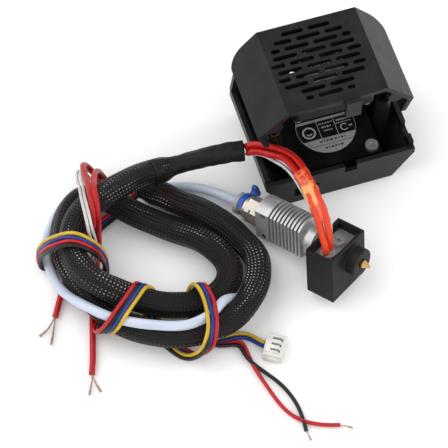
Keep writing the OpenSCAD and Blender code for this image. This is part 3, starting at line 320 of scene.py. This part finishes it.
class Shader:
    """A procedural material built up in steps round one Principled shader."""

    def __init__(self, name, base, roughness, metallic=0.0, specular=0.5):
        self.mat = bpy.data.materials.new(name)
        self.mat.use_nodes = True
        self.tree = self.mat.node_tree
        self.bsdf = self.tree.nodes["Principled BSDF"]
        self.bsdf.inputs["Base Color"].default_value = (*base, 1)
        self.bsdf.inputs["Roughness"].default_value = roughness
        self.bsdf.inputs["Metallic"].default_value = metallic
        self.bsdf.inputs["Specular IOR Level"].default_value = specular
        self.base = base
        self.roughness = roughness
        self.normal = None

    def node(self, kind, **values):
        n = self.tree.nodes.new(kind)
        for key, value in values.items():
            if key in n.inputs:
                n.inputs[key].default_value = value
            else:
                setattr(n, key.lower(), value)
        return n

    def link(self, a, b):
        self.tree.links.new(a, b)

    def coords(self, space="Object", scale=(1, 1, 1), turn=(0, 0, 0)):
        tex = self.node("ShaderNodeTexCoord")
        mapping = self.node("ShaderNodeMapping")
        mapping.inputs["Scale"].default_value = scale
        mapping.inputs["Rotation"].default_value = turn
        self.link(tex.outputs[space], mapping.inputs["Vector"])
        return mapping.outputs["Vector"]

    def noise(self, vector, scale, detail=3.0, rough=0.5):
        n = self.node("ShaderNodeTexNoise")
        n.inputs["Scale"].default_value = scale
        n.inputs["Detail"].default_value = detail
        n.inputs["Roughness"].default_value = rough
        self.link(vector, n.inputs["Vector"])
        return n.outputs["Fac"]

    def math(self, op, a, b=None, clamp=False):
        n = self.node("ShaderNodeMath")
        n.operation = op
        n.use_clamp = clamp
        for socket, value in zip(n.inputs, (a, b)):
            if value is None:
                continue
            if isinstance(value, (int, float)):
                socket.default_value = value
            else:
                self.link(value, socket)
        return n.outputs[0]

    def remap(self, value, lo, hi, out_lo, out_hi):
        n = self.node("ShaderNodeMapRange")
        for key, v in (("From Min", lo), ("From Max", hi), ("To Min", out_lo), ("To Max", out_hi)):
            n.inputs[key].default_value = v
        self.link(value, n.inputs["Value"])
        return n.outputs["Result"]

    def mix(self, factor, a, b):
        """A colour between a and b. Each is a colour or a socket."""
        n = self.node("ShaderNodeMix")
        n.data_type = "RGBA"
        sockets = [s for s in n.inputs if s.type == "RGBA"]
        self.link(factor, n.inputs["Factor"])
        for socket, value in zip(sockets, (a, b)):
            if isinstance(value, tuple):
                socket.default_value = (*value, 1)
            else:
                self.link(value, socket)
        return [s for s in n.outputs if s.type == "RGBA"][0]

    def colour(self, socket):
        self.link(socket, self.bsdf.inputs["Base Color"])

    def rough(self, socket):
        self.link(socket, self.bsdf.inputs["Roughness"])

    def bump(self, height, distance, strength=1.0):
        n = self.node("ShaderNodeBump")
        n.inputs["Strength"].default_value = strength
        n.inputs["Distance"].default_value = distance
        self.link(height, n.inputs["Height"])
        if self.normal is not None:
            self.link(self.normal, n.inputs["Normal"])
        self.normal = n.outputs["Normal"]
        self.link(self.normal, self.bsdf.inputs["Normal"])
        return self

    def mottled(self, scale, amount, spread=0.05, bump=0.0, bump_scale=None):
        """Slight colour and gloss variation, and a fine surface grain."""
        vec = self.coords()
        n = self.noise(vec, scale, 4.0)
        dark = tuple(c * (1 - amount) for c in self.base)
        light = tuple(min(1.0, c * (1 + amount) + 0.003) for c in self.base)
        self.colour(self.mix(self.remap(n, 0.3, 0.7, 0, 1), dark, light))
        self.rough(self.remap(n, 0.3, 0.7, self.roughness - spread, self.roughness + spread))
        if bump:
            self.bump(self.noise(vec, bump_scale or scale * 4, 2.0), bump)
        return self


def moulded(name, base, roughness, grain=0.00002, specular=0.5):
    return Shader(name, base, roughness, 0.0, specular).mottled(140, 0.22, 0.05, grain, 2600).mat


def metal(name, base, roughness, lines=(1, 1, 1), scale=900.0, depth=0.000004, turn=(0, 0, 0), bare=1.0):
    """Bare or plated metal with fine tool marks along one direction; `bare` is its metallic share."""
    s = Shader(name, base, roughness, bare)
    vec = s.coords(scale=lines, turn=turn)
    marks = s.noise(vec, scale, 3.0, 0.6)
    broad = s.noise(s.coords(), 160.0, 3.0)
    s.colour(s.mix(s.remap(broad, 0.3, 0.7, 0, 1), tuple(c * 0.82 for c in base), base))
    s.rough(s.remap(marks, 0.3, 0.7, roughness * 0.75, roughness * 1.35))
    s.bump(marks, depth, 0.6)
    return s.mat


def insulation(name, base, roughness=0.38, ribs=0.00004, far=None, change=(0, 1)):
    """Wire insulation: a soft lengthways drawing line and a little dirt.

    `far` is its colour past `change` (mm).
    """
    s = Shader(name, base, roughness, 0.0, 0.35)
    vec = s.coords("UV", (0.12, 5.0, 1.0))
    n = s.noise(vec, 1.6, 3.0)
    dark = tuple(c * 0.72 for c in base)
    light = tuple(min(1, c * 1.12) for c in base)
    tint = s.mix(s.remap(n, 0.35, 0.7, 0, 1), dark, light)
    if far:
        tex = s.node("ShaderNodeTexCoord")
        sep = s.node("ShaderNodeSeparateXYZ")
        s.link(tex.outputs["UV"], sep.inputs["Vector"])
        tint = s.mix(s.remap(sep.outputs["X"], change[0], change[1], 0, 1), tint, far)
    s.colour(tint)
    s.rough(s.remap(n, 0.3, 0.7, roughness - 0.08, roughness + 0.1))
    s.bump(n, ribs, 0.6)
    return s.mat


def braid_material():
    """Woven sleeve: two families of diagonal yarns, over and under in turn, with rows of light stitches; the
    low parts of the weave are painted darker as shade.
    """
    s = Shader("braid", (0.006, 0.006, 0.006), 0.42, 0.0, 0.18)
    tex = s.node("ShaderNodeTexCoord")
    sep = s.node("ShaderNodeSeparateXYZ")
    s.link(tex.outputs["UV"], sep.inputs["Vector"])
    along, turn = sep.outputs["X"], sep.outputs["Y"]
    wander = s.math("MULTIPLY", s.math("SUBTRACT", s.noise(s.coords(), 90.0, 2.0), 0.5), 1.2)
    run = s.math("MULTIPLY", along, 0.70)
    spin = s.math("ADD", s.math("MULTIPLY", turn, 22.0), wander)
    a = s.math("ADD", spin, run)
    b = s.math("SUBTRACT", spin, run)
    wave_a = s.math("ABSOLUTE", s.math("SINE", s.math("MULTIPLY", a, math.pi)))
    wave_b = s.math("ABSOLUTE", s.math("SINE", s.math("MULTIPLY", b, math.pi)))
    cell = s.math("ADD", s.math("FLOOR", a), s.math("FLOOR", b))
    over = s.math("GREATER_THAN", s.math("MODULO", s.math("ADD", cell, 2000.0), 2.0), 0.5)
    height = s.math(
        "ADD",
        s.math("MULTIPLY", wave_a, over),
        s.math("MULTIPLY", wave_b, s.math("SUBTRACT", 1.0, over)),
    )
    bent = s.math("ADD", turn, s.math("MULTIPLY", wander, 0.02))
    ribs = s.math("ABSOLUTE", s.math("SINE", s.math("MULTIPLY", bent, 60.0)))
    dots = s.remap(s.math("MULTIPLY", wave_a, wave_b), 0.62, 0.85, 0.0, 1.0)
    lanes = s.noise(s.coords("UV", (0.02, 3.2, 1.0)), 1.5, 2.0)
    lane = s.remap(lanes, 0.54, 0.62, 0.0, 1.0)
    patchy = s.remap(s.noise(s.coords(), 120.0, 2.0), 0.40, 0.62, 0.25, 1.0)
    light = s.math("MULTIPLY", s.math("MULTIPLY", dots, over), s.math("MULTIPLY", lane, patchy), True)
    warm = s.remap(s.noise(s.coords("UV", (0.03, 2.0, 1.0)), 1.1, 2.0), 0.55, 0.7, 0.0, 0.8)
    # Painted shade: the yarn colour is darker where the weave lies low, between the crossing yarns.
    body = s.mix(s.remap(height, 0.2, 1.0, 0.0, 1.0), (0.002, 0.002, 0.002), (0.012, 0.012, 0.012))
    body = s.mix(s.math("MULTIPLY", warm, s.remap(height, 0.5, 1.0, 0.0, 1.0)), body, (0.030, 0.006, 0.005))
    s.colour(s.mix(light, body, (0.55, 0.52, 0.50)))
    s.rough(s.remap(ribs, 0.0, 1.0, 0.55, 0.32))
    s.bump(s.math("ADD", height, s.math("MULTIPLY", ribs, 0.8)), 0.00025, 1.0)
    return s.mat


def tube_material():
    s = Shader("ptfe", (0.52, 0.58, 0.68), 0.30, 0.0, 0.4)
    s.bsdf.inputs["Subsurface Weight"].default_value = 0.25
    s.bsdf.inputs["Subsurface Radius"].default_value = (0.002, 0.002, 0.003)
    s.bsdf.inputs["Subsurface Scale"].default_value = 0.5
    vec = s.coords("UV", (0.05, 3.0, 1.0))
    n = s.noise(vec, 2.0, 2.0)
    s.colour(s.mix(s.remap(n, 0.3, 0.7, 0, 1), (0.47, 0.53, 0.64), (0.56, 0.61, 0.70)))
    s.bump(n, 0.00002, 0.5)
    return s.mat


def tape_material():
    """Heat-proof film over red wires: orange-red, glossy, with pale patches of painted highlight on its
    creases.
    """
    s = Shader("tape", (0.62, 0.05, 0.008), 0.16, 0.0, 0.4)
    s.bsdf.inputs["Coat Weight"].default_value = 0.6
    s.bsdf.inputs["Coat Roughness"].default_value = 0.08
    vec = s.coords("UV", (0.10, 2.2, 1.0))
    broad = s.noise(vec, 1.5, 3.0)
    crease_and_highlight = s.noise(s.coords("UV", (0.5, 3.0, 1.0), (0, 0, 0.5)), 2.2, 4.0, 0.7)
    warm = s.mix(s.remap(broad, 0.35, 0.62, 0, 1), (0.50, 0.020, 0.004), (0.66, 0.085, 0.010))
    sep = s.node("ShaderNodeSeparateXYZ")
    s.link(s.node("ShaderNodeTexCoord").outputs["UV"], sep.inputs["Vector"])
    amber = s.mix(s.remap(sep.outputs["X"], 7, 9.5, 0, 1), warm, (0.74, 0.30, 0.075))
    lap = s.mix(s.remap(sep.outputs["X"], 17, 19, 0, 1), amber, warm)
    # Painted highlight: pale orange patches where the crease noise is high; the same noise gives the real
    # crease bump below.
    s.colour(s.mix(s.remap(crease_and_highlight, 0.58, 0.70, 0, 0.7), lap, (0.80, 0.42, 0.16)))
    s.bump(crease_and_highlight, 0.00035, 0.8)
    return s.mat


def shrink_material():
    s = Shader("shrink", (0.006, 0.006, 0.006), 0.46, 0.0, 0.2)
    n = s.noise(s.coords("UV", (0.35, 4.0, 1.0)), 1.4, 4.0, 0.6)
    s.colour(s.mix(s.remap(n, 0.3, 0.7, 0, 1), (0.004, 0.004, 0.004), (0.010, 0.010, 0.010)))
    s.rough(s.remap(n, 0.3, 0.7, 0.38, 0.56))
    s.bump(n, 0.0002, 0.8)
    return s.mat


def silicone_material():
    s = Shader("silicone", (0.006, 0.006, 0.006), 0.52, 0.0, 0.2)
    vec = s.coords()
    n = s.noise(vec, 220.0, 4.0)
    s.colour(s.mix(s.remap(n, 0.3, 0.7, 0, 1), (0.004, 0.004, 0.004), (0.010, 0.010, 0.010)))
    s.rough(s.remap(n, 0.3, 0.7, 0.44, 0.60))
    s.bump(s.noise(vec, 3200.0, 2.0), 0.00003, 0.6)
    return s.mat


MATERIALS = {
    "housing": moulded("housing", (0.0075, 0.0075, 0.0085), 0.38, 0.00002, 0.22),
    "fan_plastic": moulded("fan_plastic", (0.004, 0.004, 0.0045), 0.34, 0.00002, 0.15),
    "rotor_plastic": moulded("rotor_plastic", (0.010, 0.010, 0.011), 0.40, 0.00002, 0.2),
    "label": Shader("label", (0.36, 0.365, 0.38), 0.30, 0.2).mottled(200, 0.08, 0.05, 0.00001, 3000).mat,
    "label_dark": Shader("label_dark", (0.006, 0.006, 0.007), 0.32, 0.0, 0.2).mottled(300, 0.2, 0.05).mat,
    "label_print": Shader("label_print", (0.42, 0.42, 0.43), 0.35).mottled(600, 0.12, 0.05).mat,
    "brass": metal("brass", (0.70, 0.44, 0.15), 0.24, (1, 1, 6), 700.0),
    "screw_steel": metal("screw_steel", (0.50, 0.49, 0.48), 0.32, (1, 1, 1), 1200.0, bare=0.7),
    "nickel": metal("nickel", (0.50, 0.46, 0.41), 0.30, (1, 1, 1), 500.0, bare=0.7),
    "collet": Shader("collet", (0.30, 0.31, 0.32), 0.34).mottled(400, 0.06, 0.05).mat,
    "dark_steel": metal("dark_steel", (0.07, 0.07, 0.075), 0.38),
    "alloy": metal("alloy", (0.50, 0.50, 0.51), 0.36, (1, 1, 1), 1400.0, bare=0.62),
    "block": metal("block", (0.38, 0.38, 0.39), 0.38, (1, 1, 1), 900.0, bare=0.65),
    "blue_clip": moulded("blue_clip", (0.004, 0.070, 0.42), 0.30, 0.00001, 0.4),
    "silicone": silicone_material(),
    "bead": moulded("bead", (0.52, 0.42, 0.30), 0.25, 0.00001),
    "shrink": shrink_material(),
    "braid": braid_material(),
    "ptfe": tube_material(),
    "red_silicone": insulation("red_silicone", (0.44, 0.008, 0.010)),
    "heater_insulation": insulation(
        "heater_insulation", (0.50, 0.008, 0.006), 0.34, far=(0.62, 0.040, 0.008), change=(34, 44)
    ),
    "white_insulation": insulation("white_insulation", (0.62, 0.61, 0.59)),
    "yellow_insulation": insulation("yellow_insulation", (0.62, 0.40, 0.025)),
    "blue_insulation": insulation("blue_insulation", (0.013, 0.034, 0.22)),
    "red_insulation": insulation("red_insulation", (0.46, 0.010, 0.014)),
    "black_insulation": insulation("black_insulation", (0.006, 0.006, 0.0065)),
    "tape": tape_material(),
    "connector": moulded("connector", (0.62, 0.61, 0.58), 0.38, 0.00001),
    "contact": metal("contact", (0.58, 0.58, 0.58), 0.25),
    "copper": metal("copper", (0.62, 0.48, 0.42), 0.30, (1, 1, 1), 2500.0),
}

# ---- CAD nodes that stay: material, and rounded edges where the real piece is moulded ----

CAD_LOOKS = {
    "front_cover": ("housing", 0.9),
    "rear_housing": ("housing", 0.45),
    "threaded_inserts": ("brass", 0.0),
    "heatsink_fan_frame": ("fan_plastic", 0.0),
    "heatsink_fan_rotor": ("rotor_plastic", 0.0),
    "heatsink_fan_label": ("label", 0.0),
    "heatsink_fan_screws": ("screw_steel", 0.0),
    "blower_case": ("fan_plastic", 0.0),
    "blower_lid": ("fan_plastic", 0.25),
    "blower_impeller": ("rotor_plastic", 0.0),
    "blower_label": ("label", 0.0),
    "blower_screws": ("screw_steel", 0.0),
    "tube_fitting": ("nickel", 0.0),
    "fitting_collet": ("collet", 0.0),
    "collet_clip": ("blue_clip", 0.3),
    "heatsink": ("alloy", 0.0),
    "heatsink_grub_screw": ("dark_steel", 0.0),
    "heat_break": ("screw_steel", 0.0),
    "heater_block": ("block", 0.25),
    "heater_cartridge": ("screw_steel", 0.0),
    "cartridge_collar": ("block", 0.0),
    "thermistor": ("bead", 0.0),
    "thermistor_screw": ("screw_steel", 0.0),
    "heater_grub_screw": ("dark_steel", 0.0),
    "silicone_sock": ("silicone", 0.6),
    "nozzle": ("brass", 0.0),
    "connector_housing": ("connector", 0.2),
    "connector_contacts": ("contact", 0.0),
}


def sharp_edges(mesh, least, allow):
    """Edge index -> bevel weight, for the edges whose two faces meet at more than `least` radians."""

    def key(v):
        return tuple(round(c * 1e6) for c in v)

    normals = {}
    for poly in mesh.polygons:
        verts = [key(mesh.vertices[i].co) for i in poly.vertices]
        for a, b in zip(verts, verts[1:] + verts[:1]):
            normals.setdefault(frozenset((a, b)), []).append(poly.normal)
    weights = {}
    for edge in mesh.edges:
        a, b = (mesh.vertices[i].co for i in edge.vertices)
        faces = normals.get(frozenset((key(a), key(b))), [])
        if len(faces) == 2 and faces[0].angle(faces[1], 0) > least:
            weights[edge.index] = allow((a + b) / 2)
    return weights


def round_edges(obj, width, allow=lambda p: 1.0):
    """Rounds the sharp edges with modifiers, so the CAD mesh itself stays as it is."""
    mesh = obj.data
    with bpy.context.temp_override(object=obj, active_object=obj, selected_objects=[obj]):
        bpy.ops.mesh.customdata_custom_splitnormals_clear()
    mesh.polygons.foreach_set("use_smooth", [True] * len(mesh.polygons))
    weights = sharp_edges(mesh, math.radians(28), allow)
    attr = mesh.attributes.new("bevel_weight_edge", "FLOAT", "EDGE")
    for i, w in weights.items():
        attr.data[i].value = w
    weld = obj.modifiers.new("weld", "WELD")
    weld.merge_threshold = 1e-6
    bevel = obj.modifiers.new("bevel", "BEVEL")
    bevel.width = width * MM
    bevel.segments = 3
    bevel.limit_method = "WEIGHT"
    bevel.use_clamp_overlap = True
    bevel.harden_normals = False
    split = obj.modifiers.new("split", "EDGE_SPLIT")
    split.split_angle = math.radians(40)
    normal = obj.modifiers.new("normal", "WEIGHTED_NORMAL")
    normal.keep_sharp = True


def grille_rule(p):
    """Full rounding on the cover's outer edges, almost none round the grille slots and inside."""
    from_grille = math.hypot(p.x + 0.0015, p.y + 0.024)
    if p.z > 0.045 and from_grille < 0.0195:
        return 0.18
    return 1.0 if p.z > 0.034 and abs(p.y) > 0.0 else 0.4


def dress_cad_nodes():
    for name, (look, width) in CAD_LOOKS.items():
        obj = NODES[name]
        obj.data.materials.clear()
        obj.data.materials.append(MATERIALS[look])
        if width:
            round_edges(obj, width, grille_rule if name == "front_cover" else lambda p: 1.0)


dress_cad_nodes()


def piece(obj, look, body=ROOT, replaces=()):
    """Gives a new piece its material and its body."""
    obj.data.materials.append(MATERIALS[look])
    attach(obj, body)
    if replaces:
        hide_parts(*replaces)
    return obj


# ---- Harness ----

SLEEVE_R = 5.25 * MM


def ripple(point, size, depth):
    return depth * noise.noise(point * size)


def make_heatshrink():
    """Black shrink tube that grips the sleeve's start, a little lumpy and flared at its ends."""
    line = resample(smooth_line(ROUTES["shrink"] + ROUTES["sleeve"][1:2], 8), 0.6 * MM)
    total = line_length(line)

    def radius(s, a):
        r = 4.0 * MM + 0.25 * MM * math.sin(2 * a + s * 90) + 0.12 * MM * math.sin(5 * a - s * 160)
        r += ripple(Vector((math.cos(a), math.sin(a), s * 220)), 1.3, 0.25 * MM)
        end = max(0.0, (s - total + 14 * MM) / (14 * MM))
        return r + 1.45 * MM * end * end * (3 - 2 * end)

    obj = tube("entry_shrink_tube", line, 40, radius)
    return piece(obj, "shrink", replaces=("entry_heatshrink",))


def make_sleeve():
    """Braided sleeve over twisted wires, from inside the shrink tube to its cut end."""
    route = ROUTES["shrink"][:-1] + ROUTES["sleeve"]
    line = resample(smooth_line(route, 8), 0.8 * MM)
    total = line_length(line)
    start = line_length(resample(smooth_line(ROUTES["shrink"], 8), 1.0 * MM)) + 4 * MM

    def radius(s, a):
        grow = min(1.0, max(0.0, (s - start + 10 * MM) / (8 * MM)))
        r = 3.2 * MM + (SLEEVE_R - 3.2 * MM) * grow * grow * (3 - 2 * grow)
        lay = s * 2 * math.pi / 0.075
        r += grow * 0.22 * MM * math.sin(3 * a + lay)
        r += grow * 0.14 * MM * math.sin(5 * a - 1.7 * lay)
        r += grow * ripple(Vector((math.cos(a), math.sin(a), s * 60)), 1.4, 0.35 * MM)
        tip = max(0.0, (s - total + 7 * MM) / (7 * MM))
        return r * (1 - 0.36 * tip * tip * (3 - 2 * tip))

    obj = tube("harness_sleeve", line, 56, radius)
    piece(obj, "braid", replaces=("braided_sleeve",))
    resample(line, 3 * MM)
    return obj


def wire(
    name,
    key,
    diameter,
    look,
    sides=14,
    backwards=False,
):
    """One insulated wire or tube along its route."""
    points = list(reversed(ROUTES[key])) if backwards else ROUTES[key]
    line = resample(smooth_line(points, 8), min(0.6 * MM, diameter * 0.4))

    def radius(s, a):
        return diameter / 2 * (1 + 0.015 * math.sin(3 * a + s * 400)) + ripple(
            Vector((math.cos(a), math.sin(a), s * 150)), 1.0, diameter * 0.02
        )

    obj = tube(name + "_cord", line, sides, radius)
    piece(obj, look, replaces=(name,))
    resample(line, max(1.0 * MM, diameter))
    return obj


def strands(name, ends):
    """Bare twisted strands at cut wire ends. Each end is (points in mm, how many, bundle radius in mm)."""
    verts, faces = [], []
    for points, count, bundle in ends:
        line = resample(smooth_line(points, 6), 0.3 * MM)
        frames = side_frames(line)
        total = len(line) - 1
        for k in range(count):
            phase = 2 * math.pi * k / count
            inner = 0.35 if k % 3 == 0 else 1.0
            base = len(verts)
            for i, (p, (_, n, b)) in enumerate(zip(line, frames)):
                f = i / total
                a = phase + 5.0 * f
                spread = bundle * MM * inner * (0.55 + 0.75 * f * f)
                centre = p + spread * (math.cos(a) * n + math.sin(a) * b)
                r = 0.11 * MM
                for j in range(5):
                    c = 2 * math.pi * j / 5
                    verts.append(centre + r * (math.cos(c) * n + math.sin(c) * b))
            for i in range(total):
                for j in range(5):
                    m = (j + 1) % 5
                    low = base + i * 5
                    faces.append((low + j, low + m, low + 5 + m, low + 5 + j))
            faces.append(tuple(base + j for j in reversed(range(5))))
            faces.append(tuple(base + total * 5 + j for j in range(5)))
    lift = min(v.z for v in verts)
    for v in verts:
        v.z += max(0.0, 0.3 * MM - lift) if v.z < 0.4 * MM else 0.0
        v.z = max(v.z, 0.25 * MM)
    return mesh_object(name, verts, faces)


def make_tape(*inside):
    """Heat-proof film wrapped flat round the heater and sensor wires, with overlapping turns."""
    line = resample(smooth_line(ROUTES["tape"], 10), 0.35 * MM)
    total = line_length(line)
    frames = side_frames(line)
    side = Vector((0.95, 0.1, 0.3)).normalized()
    verts, faces, uvs = [], [], []
    sides = 44
    along = 0.0
    alongs = []
    for i, (p, (t, _, _)) in enumerate(zip(line, frames)):
        if i:
            along += (p - line[i - 1]).length
        alongs.append(along)
        n = (side - side.dot(t) * t).normalized()
        b = t.cross(n)
        step = 0.14 * MM * (1 if math.sin(along / total * 17 + 1.3) > 0 else 0)
        for j in range(sides):
            a = 2 * math.pi * j / sides
            ca, sa = math.cos(a), math.sin(a)
            wide = (3.15 * MM + step) * math.copysign(abs(ca) ** 0.75, ca)
            tall = (1.95 * MM + step) * math.copysign(abs(sa) ** 0.8, sa)
            waist = 1 - 0.10 * math.exp(-((ca / 0.28) ** 2))
            crinkle = ripple(Vector((ca * 2, sa * 2, along * 260)), 1.6, 0.22 * MM)
            verts.append(p + n * (wide + crinkle * ca) + b * (tall * waist + crinkle * sa))
    for i in range(len(line) - 1):
        for j in range(sides):
            k = (j + 1) % sides
            faces.append((i * sides + j, i * sides + k, (i + 1) * sides + k, (i + 1) * sides + j))
            u0, u1 = alongs[i] / MM, alongs[i + 1] / MM
            uvs.append(((u0, j / sides), (u0, (j + 1) / sides), (u1, (j + 1) / sides), (u1, j / sides)))
    for ring, flip in ((0, True), (len(line) - 1, False)):
        loop = [ring * sides + j for j in range(sides)]
        if flip:
            loop.reverse()
        faces.append(tuple(loop))
        uvs.append([(alongs[ring] / MM, 0.5)] * sides)
    obj = mesh_object("wire_tape_wrap", verts, faces, uvs)
    return piece(obj, "tape", replaces=("wire_tape",))


def make_harness():
    shrink = make_heatshrink()
    make_sleeve()
    wire("ptfe_tube", "tube", 4.0 * MM, "ptfe", 28)
    tape = make_tape()
    wire(
        "heater_wire_a",
        "heater_a",
        2.8 * MM,
        "heater_insulation",
        22,
    )
    wire("heater_wire_b", "heater_b", 2.8 * MM, "heater_insulation", 22)
    wire("sensor_wire_a", "sensor_a", 1.2 * MM, "white_insulation")
    wire("sensor_wire_b", "sensor_b", 1.2 * MM, "white_insulation")
    wire(
        "yellow_wire", "yellow", 1.6 * MM, "yellow_insulation",
        backwards=True,
    )
    wire(
        "blue_wire",
        "blue",
        1.6 * MM,
        "blue_insulation",
        backwards=True,
    )
    wire("red_wire", "red", 1.6 * MM, "red_insulation", backwards=True)
    wire(
        "black_wire",
        "black",
        1.6 * MM,
        "black_insulation",
        backwards=True,
    )
    wire("sensor_tail_a", "white_a", 1.3 * MM, "white_insulation")
    wire("sensor_tail_b", "white_b", 1.3 * MM, "white_insulation")
    wire("supply_lead_a", "supply_a", 2.5 * MM, "red_silicone", 18)
    wire("supply_lead_b", "supply_b", 2.5 * MM, "red_silicone", 18)
    bare = strands("stripped_strands", BARE_ENDS)
    piece(bare, "copper", replaces=("stripped_ends",))


# Bare ends: route points in millimetres, strands, and bundle radius in millimetres.
BARE_ENDS = [
    ([(-127.5, -75, 1.5), (-131, -79.5, 1.2), (-133.5, -81, 1), (-136.2, -82.3, 1)], 9, 0.42),
    ([(-127.8, -75.5, 1.2), (-130, -81, 1), (-131.5, -84.5, 1), (-132.9, -87.2, 1)], 9, 0.42),
    ([(-120.8, -104.5, 1.5), (-121.8, -108, 1.2), (-123.5, -111, 1), (-124.4, -113.2, 1)], 9, 0.42),
    ([(-120.9, -104.5, 1.2), (-120.8, -108, 1), (-120.2, -111, 1), (-119.6, -113.2, 1)], 9, 0.42),
    ([(-48, -153, 1), (-47.8, -155.2, 1), (-47.6, -156.6, 0.9), (-47.4, -157.8, 0.8)], 7, 0.35),
    ([(-35, -155, 1), (-33, -155.8, 1), (-31.5, -156.8, 0.9), (-30.2, -157.6, 0.8)], 7, 0.35),
]

make_harness()

# ---- Printed labels: generic marks only ----


def flat_shapes(name, shapes, z, centre, thick=0.03 * MM):
    """Thin printed shapes on a level face: closed outlines in mm round `centre`, turning left."""
    verts, faces = [], []
    for outline in shapes:
        base = len(verts)
        n = len(outline)
        for x, y in outline:
            verts.append(Vector((centre[0] * MM + x * MM, centre[1] * MM + y * MM, z + thick)))
        for x, y in outline:
            verts.append(Vector((centre[0] * MM + x * MM, centre[1] * MM + y * MM, z)))
        faces.append(tuple(base + i for i in range(n)))
        for i in range(n):
            j = (i + 1) % n
            faces.append((base + n + i, base + n + j, base + j, base + i))
    return mesh_object(name, verts, faces, smooth=False)


def bar(x0, y0, x1, y1):
    return [(x0, y0), (x1, y0), (x1, y1), (x0, y1)]


def band(radius, y0, y1, steps=20):
    """The part of a disc between two heights."""
    y0, y1 = max(y0, -radius), min(y1, radius)
    ys = [y0 + (y1 - y0) * i / steps for i in range(steps + 1)]
    right = [(math.sqrt(max(radius * radius - y * y, 0.0)), y) for y in ys]
    left = [(-x, y) for x, y in reversed(right)]
    outline = right + left
    return [p for i, p in enumerate(outline) if i == 0 or math.dist(p, outline[i - 1]) > 1e-4]


def arc_strip(cx, cy, radius, width, a0, a1, steps=18):
    """A curved stroke, as quads."""
    quads = []
    for i in range(steps):
        p, q = (math.radians(a0 + (a1 - a0) * k / steps) for k in (i, i + 1))
        inner, outer = radius - width / 2, radius + width / 2
        quads.append(
            [
                (cx + inner * math.cos(p), cy + inner * math.sin(p)),
                (cx + outer * math.cos(p), cy + outer * math.sin(p)),
                (cx + outer * math.cos(q), cy + outer * math.sin(q)),
                (cx + inner * math.cos(q), cy + inner * math.sin(q)),
            ]
        )
    return quads


def dashes(x0, x1, y, height, widths, gap):
    """A row of small bars that reads as fine print."""
    out = []
    x = x0
    i = 0
    while x < x1:
        w = widths[i % len(widths)]
        out.append(bar(x, y, min(x + w, x1), y + height))
        x += w + gap
        i += 1
    return out


def make_blower_label():
    """Dark band with a ring mark, dividers and fine print; a silver part below with two rows of print."""
    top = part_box("blower_label")[1].z
    centre = (1.5, -29.7)
    dark = flat_shapes("blower_label_band", [band(12.3, -5.0, 3.4), band(12.3, 4.6, 12.2)], top, centre)
    piece(dark, "label_dark")
    marks = [bar(-3.4, -4.9, -3.15, 3.2), bar(3.9, -4.9, 4.15, 3.2), bar(4.2, 0.2, 11.0, 0.45)]
    marks += arc_strip(-7.6, -1.1, 2.5, 0.75, 0, 360, 28)
    marks += arc_strip(-7.6, -1.1, 1.1, 0.5, 200, 340, 10)
    marks += dashes(-2.4, 3.2, 1.6, 0.5, (1.0, 0.6, 0.8), 0.4)
    marks += dashes(-1.8, 2.6, -0.3, 0.7, (0.9, 0.5), 0.4)
    marks += dashes(-1.4, 2.4, -2.0, 0.5, (0.6, 0.9), 0.35)
    marks += dashes(5.0, 10.2, 1.3, 0.8, (0.5, 0.8, 0.6), 0.35)
    marks += arc_strip(7.4, -2.2, 1.5, 0.5, 40, 320, 16)
    marks += dashes(9.4, 11.0, -2.6, 0.9, (0.5,), 0.3)
    white = flat_shapes("blower_label_marks", marks, top + 0.03 * MM, centre)
    piece(white, "label_print")
    print_rows = dashes(-4.6, 6.4, -6.9, 0.75, (1.1, 0.5, 0.9, 1.4), 0.6)
    print_rows += [bar(-9.6, -8.3, 9.6, -8.1)]
    print_rows += dashes(-3.2, 4.4, -10.2, 0.7, (0.9, 0.6, 1.2), 0.45)
    black = flat_shapes("blower_label_print", print_rows, top, centre)
    piece(black, "label_dark")


def make_fan_label():
    """Dark hub sticker with light strips and fine print."""
    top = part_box("heatsink_fan_label")[1].z
    centre = (0.0, -24.0)
    dark = flat_shapes("fan_label_band", [band(8.8, -2.6, 2.4), band(8.8, 3.2, 8.7)], top, centre)
    piece(dark, "label_dark", "heatsink_fan_wheel")
    marks = dashes(-6.0, 6.0, -0.6, 0.9, (1.2, 0.6, 0.9), 0.5) + dashes(-5.0, 5.0, 5.0, 0.7, (0.8, 1.1), 0.5)
    marks += arc_strip(0.0, 0.0, 8.4, 0.35, 0, 360, 40)
    white = flat_shapes("fan_label_marks", marks, top + 0.03 * MM, centre)
    piece(white, "label_print", "heatsink_fan_wheel")


make_blower_label()
make_fan_label()

# ---- Floor and light ----


def make_floor():
    size = 1.6
    verts = [Vector((x, y, -0.0004)) for x, y in ((-size, -size), (size, -size), (size, size), (-size, size))]
    floor = mesh_object("floor", verts, [(0, 1, 2, 3)], smooth=False)
    s = Shader("floor", (0.93, 0.93, 0.93), 0.85, 0.0, 0.1)
    n = s.noise(s.coords(), 6.0, 2.0)
    s.colour(s.mix(s.remap(n, 0.3, 0.7, 0, 1), (0.925, 0.925, 0.925), (0.94, 0.94, 0.94)))
    floor.data.materials.append(s.mat)


def area_light(name, at, to, size, power):
    data = bpy.data.lights.new(name, "AREA")
    data.shape = "DISK"
    data.size = size
    data.energy = power
    obj = bpy.data.objects.new(name, data)
    bpy.context.scene.collection.objects.link(obj)
    obj.location = at
    obj.rotation_euler = (Vector(to) - Vector(at)).to_track_quat("-Z", "Y").to_euler()


def make_light():
    scene = bpy.context.scene
    scene.view_settings.view_transform = "Standard"
    world = bpy.data.worlds.new("studio")
    world.use_nodes = True
    world.node_tree.nodes["Background"].inputs["Color"].default_value = (1, 1, 1, 1)
    world.node_tree.nodes["Background"].inputs["Strength"].default_value = 0.75
    scene.world = world
    centre = (-0.05, -0.06, 0.02)
    area_light("key", (-0.75, 0.25, 0.85), centre, 1.6, 9.0)
    area_light("fill", (0.85, -0.25, 0.55), centre, 1.2, 5.0)
    area_light("front", (-0.1, -1.0, 0.75), centre, 1.0, 3.0)


make_floor()
make_light()
